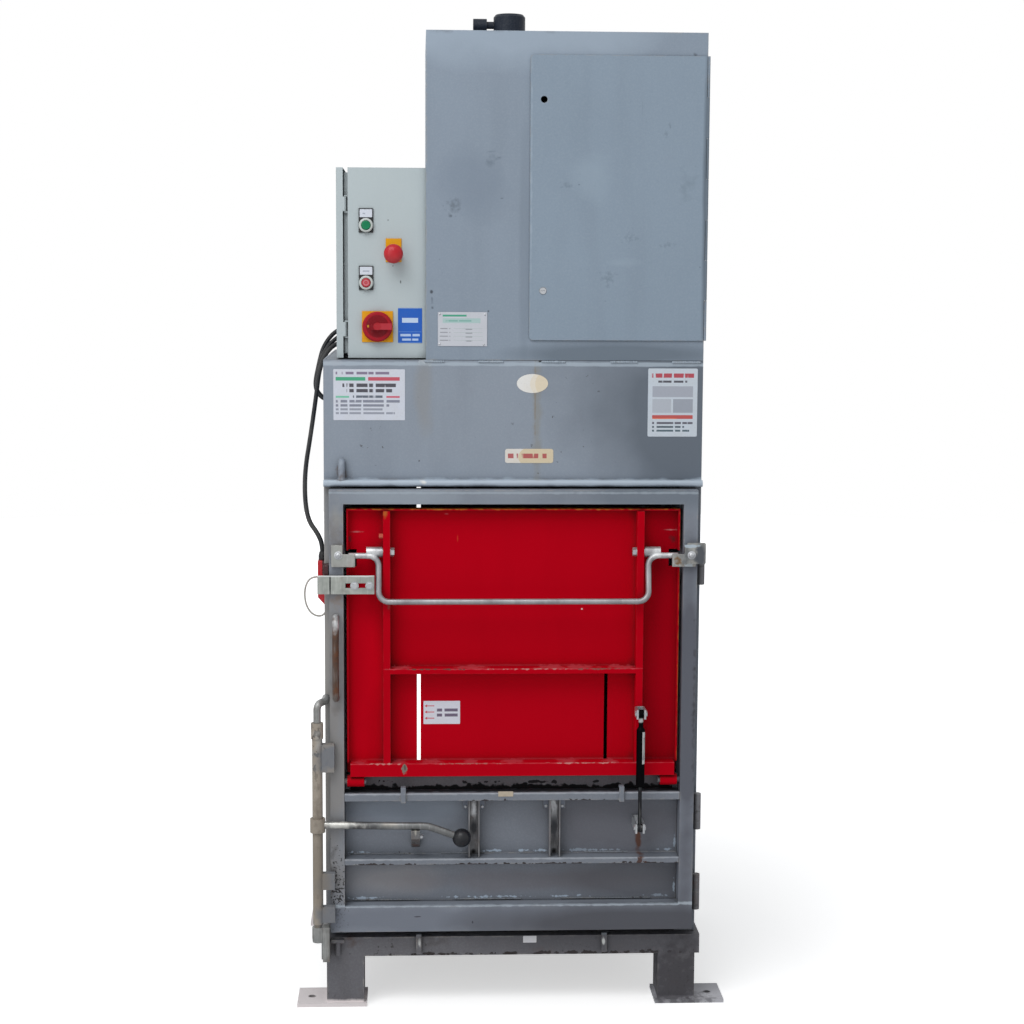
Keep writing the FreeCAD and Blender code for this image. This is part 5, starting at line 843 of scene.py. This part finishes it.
# Painted highlights: thin brighter red lines along the front top edges of the middle rib and the bottom bar.
flap_marks += [(0, 45, z, 6000, 4, 1.8, "CE4A56", 0.65, 0.6, 60) for z in (741.5, 537.5)]
flap_marks += [(0, 10, z, wide, 4, 2.2, "BC3A46", 0.55, 0.3, 60) for z, wide in ((743, 262), (539, 6000))]
flap_marks += [(x, 45, z, wide, 6, 2.2, code, 0.9, 1, 120, 0.04) for x, z, wide, code in (
    (-170, 741.5, 90, "6B4A44"), (50, 741.5, 100, "C98A86"), (180, 741.5, 70, "8E5550"),
    (-270, 537.5, 60, "CF8B88"), (-100, 537.5, 100, "B8706C"), (150, 537.5, 100, "CF8B88"))]
flap_marks += [
    (330, 10, 800, 60, 30, 800, "960014", 0.6, 0.3, 6), (-330, 10, 800, 60, 30, 800, "D8001E", 0.5, 0.3, 6),
    (-230, 45, 526.5, 7.8, 10, 12.5, "7E7C74", 0.95, 0.3, 150, 0.05),
    (-229.5, 45, 529, 2.4, 10, 8, "57544C", 0.8, 0.3, 150, 0.05),
    (-270, 45, 1072, 6, 10, 14, "B8622E", 0.9, 0.7), (-263, 45, 880, 3, 10, 20, "6A4A44", 0.5, 0.8),
    (336, 10, 1034, 16, 20, 2.2, "C98084", 0.8, 0.5), (-332, 10, 1030, 15, 20, 2.2, "C98084", 0.7, 0.5),
    (-346, 10, 1013, 6, 20, 8, "3A3034", 0.8, 0.7), (340, 10, 1013, 12, 20, 7, "3A2428", 0.8, 0.7),
    (147, 10, 864, 2.4, 20, 2.4, "E9D8D4", 0.95, 0.2), (-142, 10, 1068, 6, 20, 3, "C06A6E", 0.7, 0.6),
    (-118, 10, 1018, 1.5, 20, 12, "D0482E", 0.5, 0.4), (0, 30, 1082.5, 750, 30, 3.5, "D59A3A", 0.85, 0.7),
    (351.5, 34, 780, 1.6, 6, 340, "C98A3A", 0.5, 0.8)]
flap_red = painted("flap_red", "BE0018", 0.36, "A40013", 0.25, 0, 0.002, bare="A5484A", chips=0.8,
                   marks=flap_marks, dust=0, shine=0.03, dirt_and_shade=0.6, edges=0.45)
finished("flap_panel", flap_red, 1.2)
finished("flap_frame", flap_red, 1.2)
arrow = ((-187, -185.5, 0.9), (-185.5, -184, 1.8), (-184, -182.2, 2.8), (-182.2, -167, 1))
size_sign = printed("size_sign", "DADDE8", [
    ("box", x0, x1, z - half, z + half, "C82A3C") for z in (655.4, 642, 628.6) for x0, x1, half in arrow] + [
    ("lines", -161.5, -117, foot, foot + 6.5, "5A4A66") for foot in (643, 632)], aged=0.05)
sign("size_sign", rounded_field(-190, -112, 616, 666, 1), 10.1, 0.4, size_sign, body="loading_flap")

chromed = [(x, 36, 987, wide, 20, 16, "E4E6E8", 0.95, 0.3)
           for x, wide in ((-300, 20), (-330, 26), (300, 20), (330, 26))]
handle_steel = metal("handle_steel", "A8A7AA", "66656A", 0.28, 0.6, 24, 0.15, 0.05, 0.0002, marks=chromed)
finished("flap_handle", handle_steel, 0.6)


def joined(name, pieces, material, node, body):
    """Several turned pieces made into one that stands for a CAD node."""
    shell = bmesh.new()
    for piece in pieces:
        shell.from_mesh(piece.data)
        bpy.data.objects.remove(piece)
    mesh = meshed(name, shell, material)
    mesh.set_sharp_from_angle(angle=CREASE)
    whole = placed(name, mesh)
    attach(whole, body)
    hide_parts(node)


def tube(inner, outer, low, high):
    """The closed outline of a washer or spacer."""
    return [(inner, low), (outer, low), (outer, high), (inner, high), (inner, low)]


def shank(radius, low, high, chamfer=1, inset=0.7):
    """The outline of a plain bolt shank with a chamfered end."""
    return [(0, low), (radius, low), (radius, high - chamfer), (radius - inset, high), (0, high)]


parts = []
for side in (-1, 1):
    seat = (side * 260, 34, 990)
    parts += [turned("bolt_head", hexagon(16.5, 7.5), (side * 258.5, *seat[1:]), (-side, 0, 0), 6),
              turned("bolt_washer", tube(5, 9.8, 0, 1.3), seat, (-side, 0, 0), 32),
              turned("bolt_shank", shank(5.9, -2, 49.5), seat, (side, 0, 0)),
              turned("bolt_collar", tube(5.9, 8.8, 15.2, 16.6), seat, (side, 0, 0), 32)]
joined("pivot_bolts", parts, zinc, "handle_bolts", "loading_flap")

bracket_zinc = metal("bracket_zinc", "B3B7B1", "7F8580", 0.36, 0.7, 34, 0.25, 0.08, marks=[
    (-385.4, 57, 924, 2.4, 20, 30, "16181B", 1, 0.15), (-380, 57, 922, 5, 20, 18, "8E918C", 0.6, 0.7),
    (-355, 57, 910, 12, 20, 6, "6D6A62", 0.6, 0.7), (0, 57, 942.5, 3000, 20, 2.2, "E6E9E8", 0.8, 0.4)])
finished("interlock_bracket", bracket_zinc)
parts = []
for x in (-303, -334.5):
    front = (x, 57, 922)
    parts += [turned("screw_washer", tube(3.5, 8.8, 0, 1.2), front, (0, -1, 0), 32),
              turned("screw_head", hexagon(12.5, 4.5), (x, 58.1, 922), (0, -1, 0), 6),
              turned("screw_shank", shank(3.9, 0, 60.8, 0.8), front, (0, 1, 0), 32),
              turned("screw_spacer", tube(4, 7.8, 5.2, 46.8), front, (0, 1, 0), 32),
              turned("screw_nut", hexagon(11.2, 5.5), (x, 5.8, 922), (0, 1, 0), 6)]
joined("bracket_bolts", parts, zinc, "bracket_screws", "loading_flap")

salmon_bolt = plastic("salmon_bolt", "D0624E", "9C3A2E", 0.4)
fastened("rib_bolt", hexagon(8.5, 8.5), (-275.2, 30, 1023.5), (-1, 0, 0), 6, "loading_flap", salmon_bolt)
for first, z, body in ((1, 650, "loading_flap"), (3, 403, "bale_door")):
    for number, x, side in ((first, 258.9, -1), (first + 1, 279.1, 1)):
        fastened(f"ear_nut_{number}", hexagon(11, 3), (x, 75, z), (side, 0, 0), 6, body)
finished("spring_ears", zinc, 1.2)

spring_black = painted("spring_black", "040406", 0.5, "020203", 0.4, 0, 0.001, chips=0.85, edges=0,
                       dust=0, shine=0.04, marks=[(269, 75, 636.5, 20, 20, 6, "C9CBCB", 0.9, 0.2)])
dark_rod = metal("dark_rod", "2E2F32", "17181A", 0.22, 0.6, 60, 0.1, 0, 0.0002)
finished("spring_tube", spring_black)
finished("spring_rod", dark_rod, 0.6)
spring_print = printed("spring_print", "C9CCCD", [("lines", 270, 280, 552, 600, "8A8D90")])
band = bmesh.new()
middle, reach = 0.269, 0.00915
arc = [math.radians(turn) for turn in range(18, 67, 6)]
rows = [[band.verts.new((middle + reach * math.sin(a), FACE - 0.075 - reach * math.cos(a), z)) for a in arc]
        for z in (0.543, 0.612)]
for i in range(len(arc) - 1):
    band.faces.new((rows[0][i], rows[0][i + 1], rows[1][i + 1], rows[1][i]))
spring_label = placed("spring_label", meshed("spring_label", band, spring_print))
wall = spring_label.modifiers.new("film", "SOLIDIFY")
wall.thickness, wall.offset = 0.0001, 1
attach(spring_label, "gas_spring_tube")


# ---- Door lock
# A round shaft on the left with three welded fingers that hold the door's edge, turned by a bent lever
# with a ball knob. It runs between a bent arm above and a cup below. Grey paint, mostly worn off.

shaft_marks = [(-392, 55, z, 34, 50, 45, "72767D", 0.9, 0.2) for z in (555, 287.5, 215)]
shaft_marks += [
    (-414, 70, 600, 12, 30, 30, "B9B9B6", 0.6, 0.7), (-414, 70, 320, 30, 30, 140, "857C70", 0.7, 0.4, 14),
    (-414, 70, 440, 10, 20, 50, "5A514A", 0.5, 1)]
shaft_paint = painted("shaft_paint", "A2988B", 0.5, "6E655B", 0.3, 0.22, 0.002, bare="6A625A", chips=0.57,
                      marks=shaft_marks)
finished("lock_shaft", shaft_paint, 1.2)
lever_steel = metal("lever_steel", "888A8A", "393A3C", 0.28, 0.85, 13, 0.12, 0.1, marks=[
    (-370, 70, 414, 50, 16, 14, "D4D4CE", 0.85, 0.6), (-260, 66, 412, 30, 8, 8, "9C978E", 0.6, 0.7)])
finished("lock_lever", lever_steel, 0.6)
bearing_steel = metal("bearing_steel", "A5A7A6", "57534F", 0.4, 0.8, 24, 0.2, 0.3, marks=[
    (-414, 60, 150, 20, 30, 20, "8F9597", 0.6, 0.6)])
finished("lock_bearings", bearing_steel)
knob_black = plastic("knob_black", "12161E", "0A0C12", 0.28, shine=0.3)
finished("lever_knob", knob_black, 0)
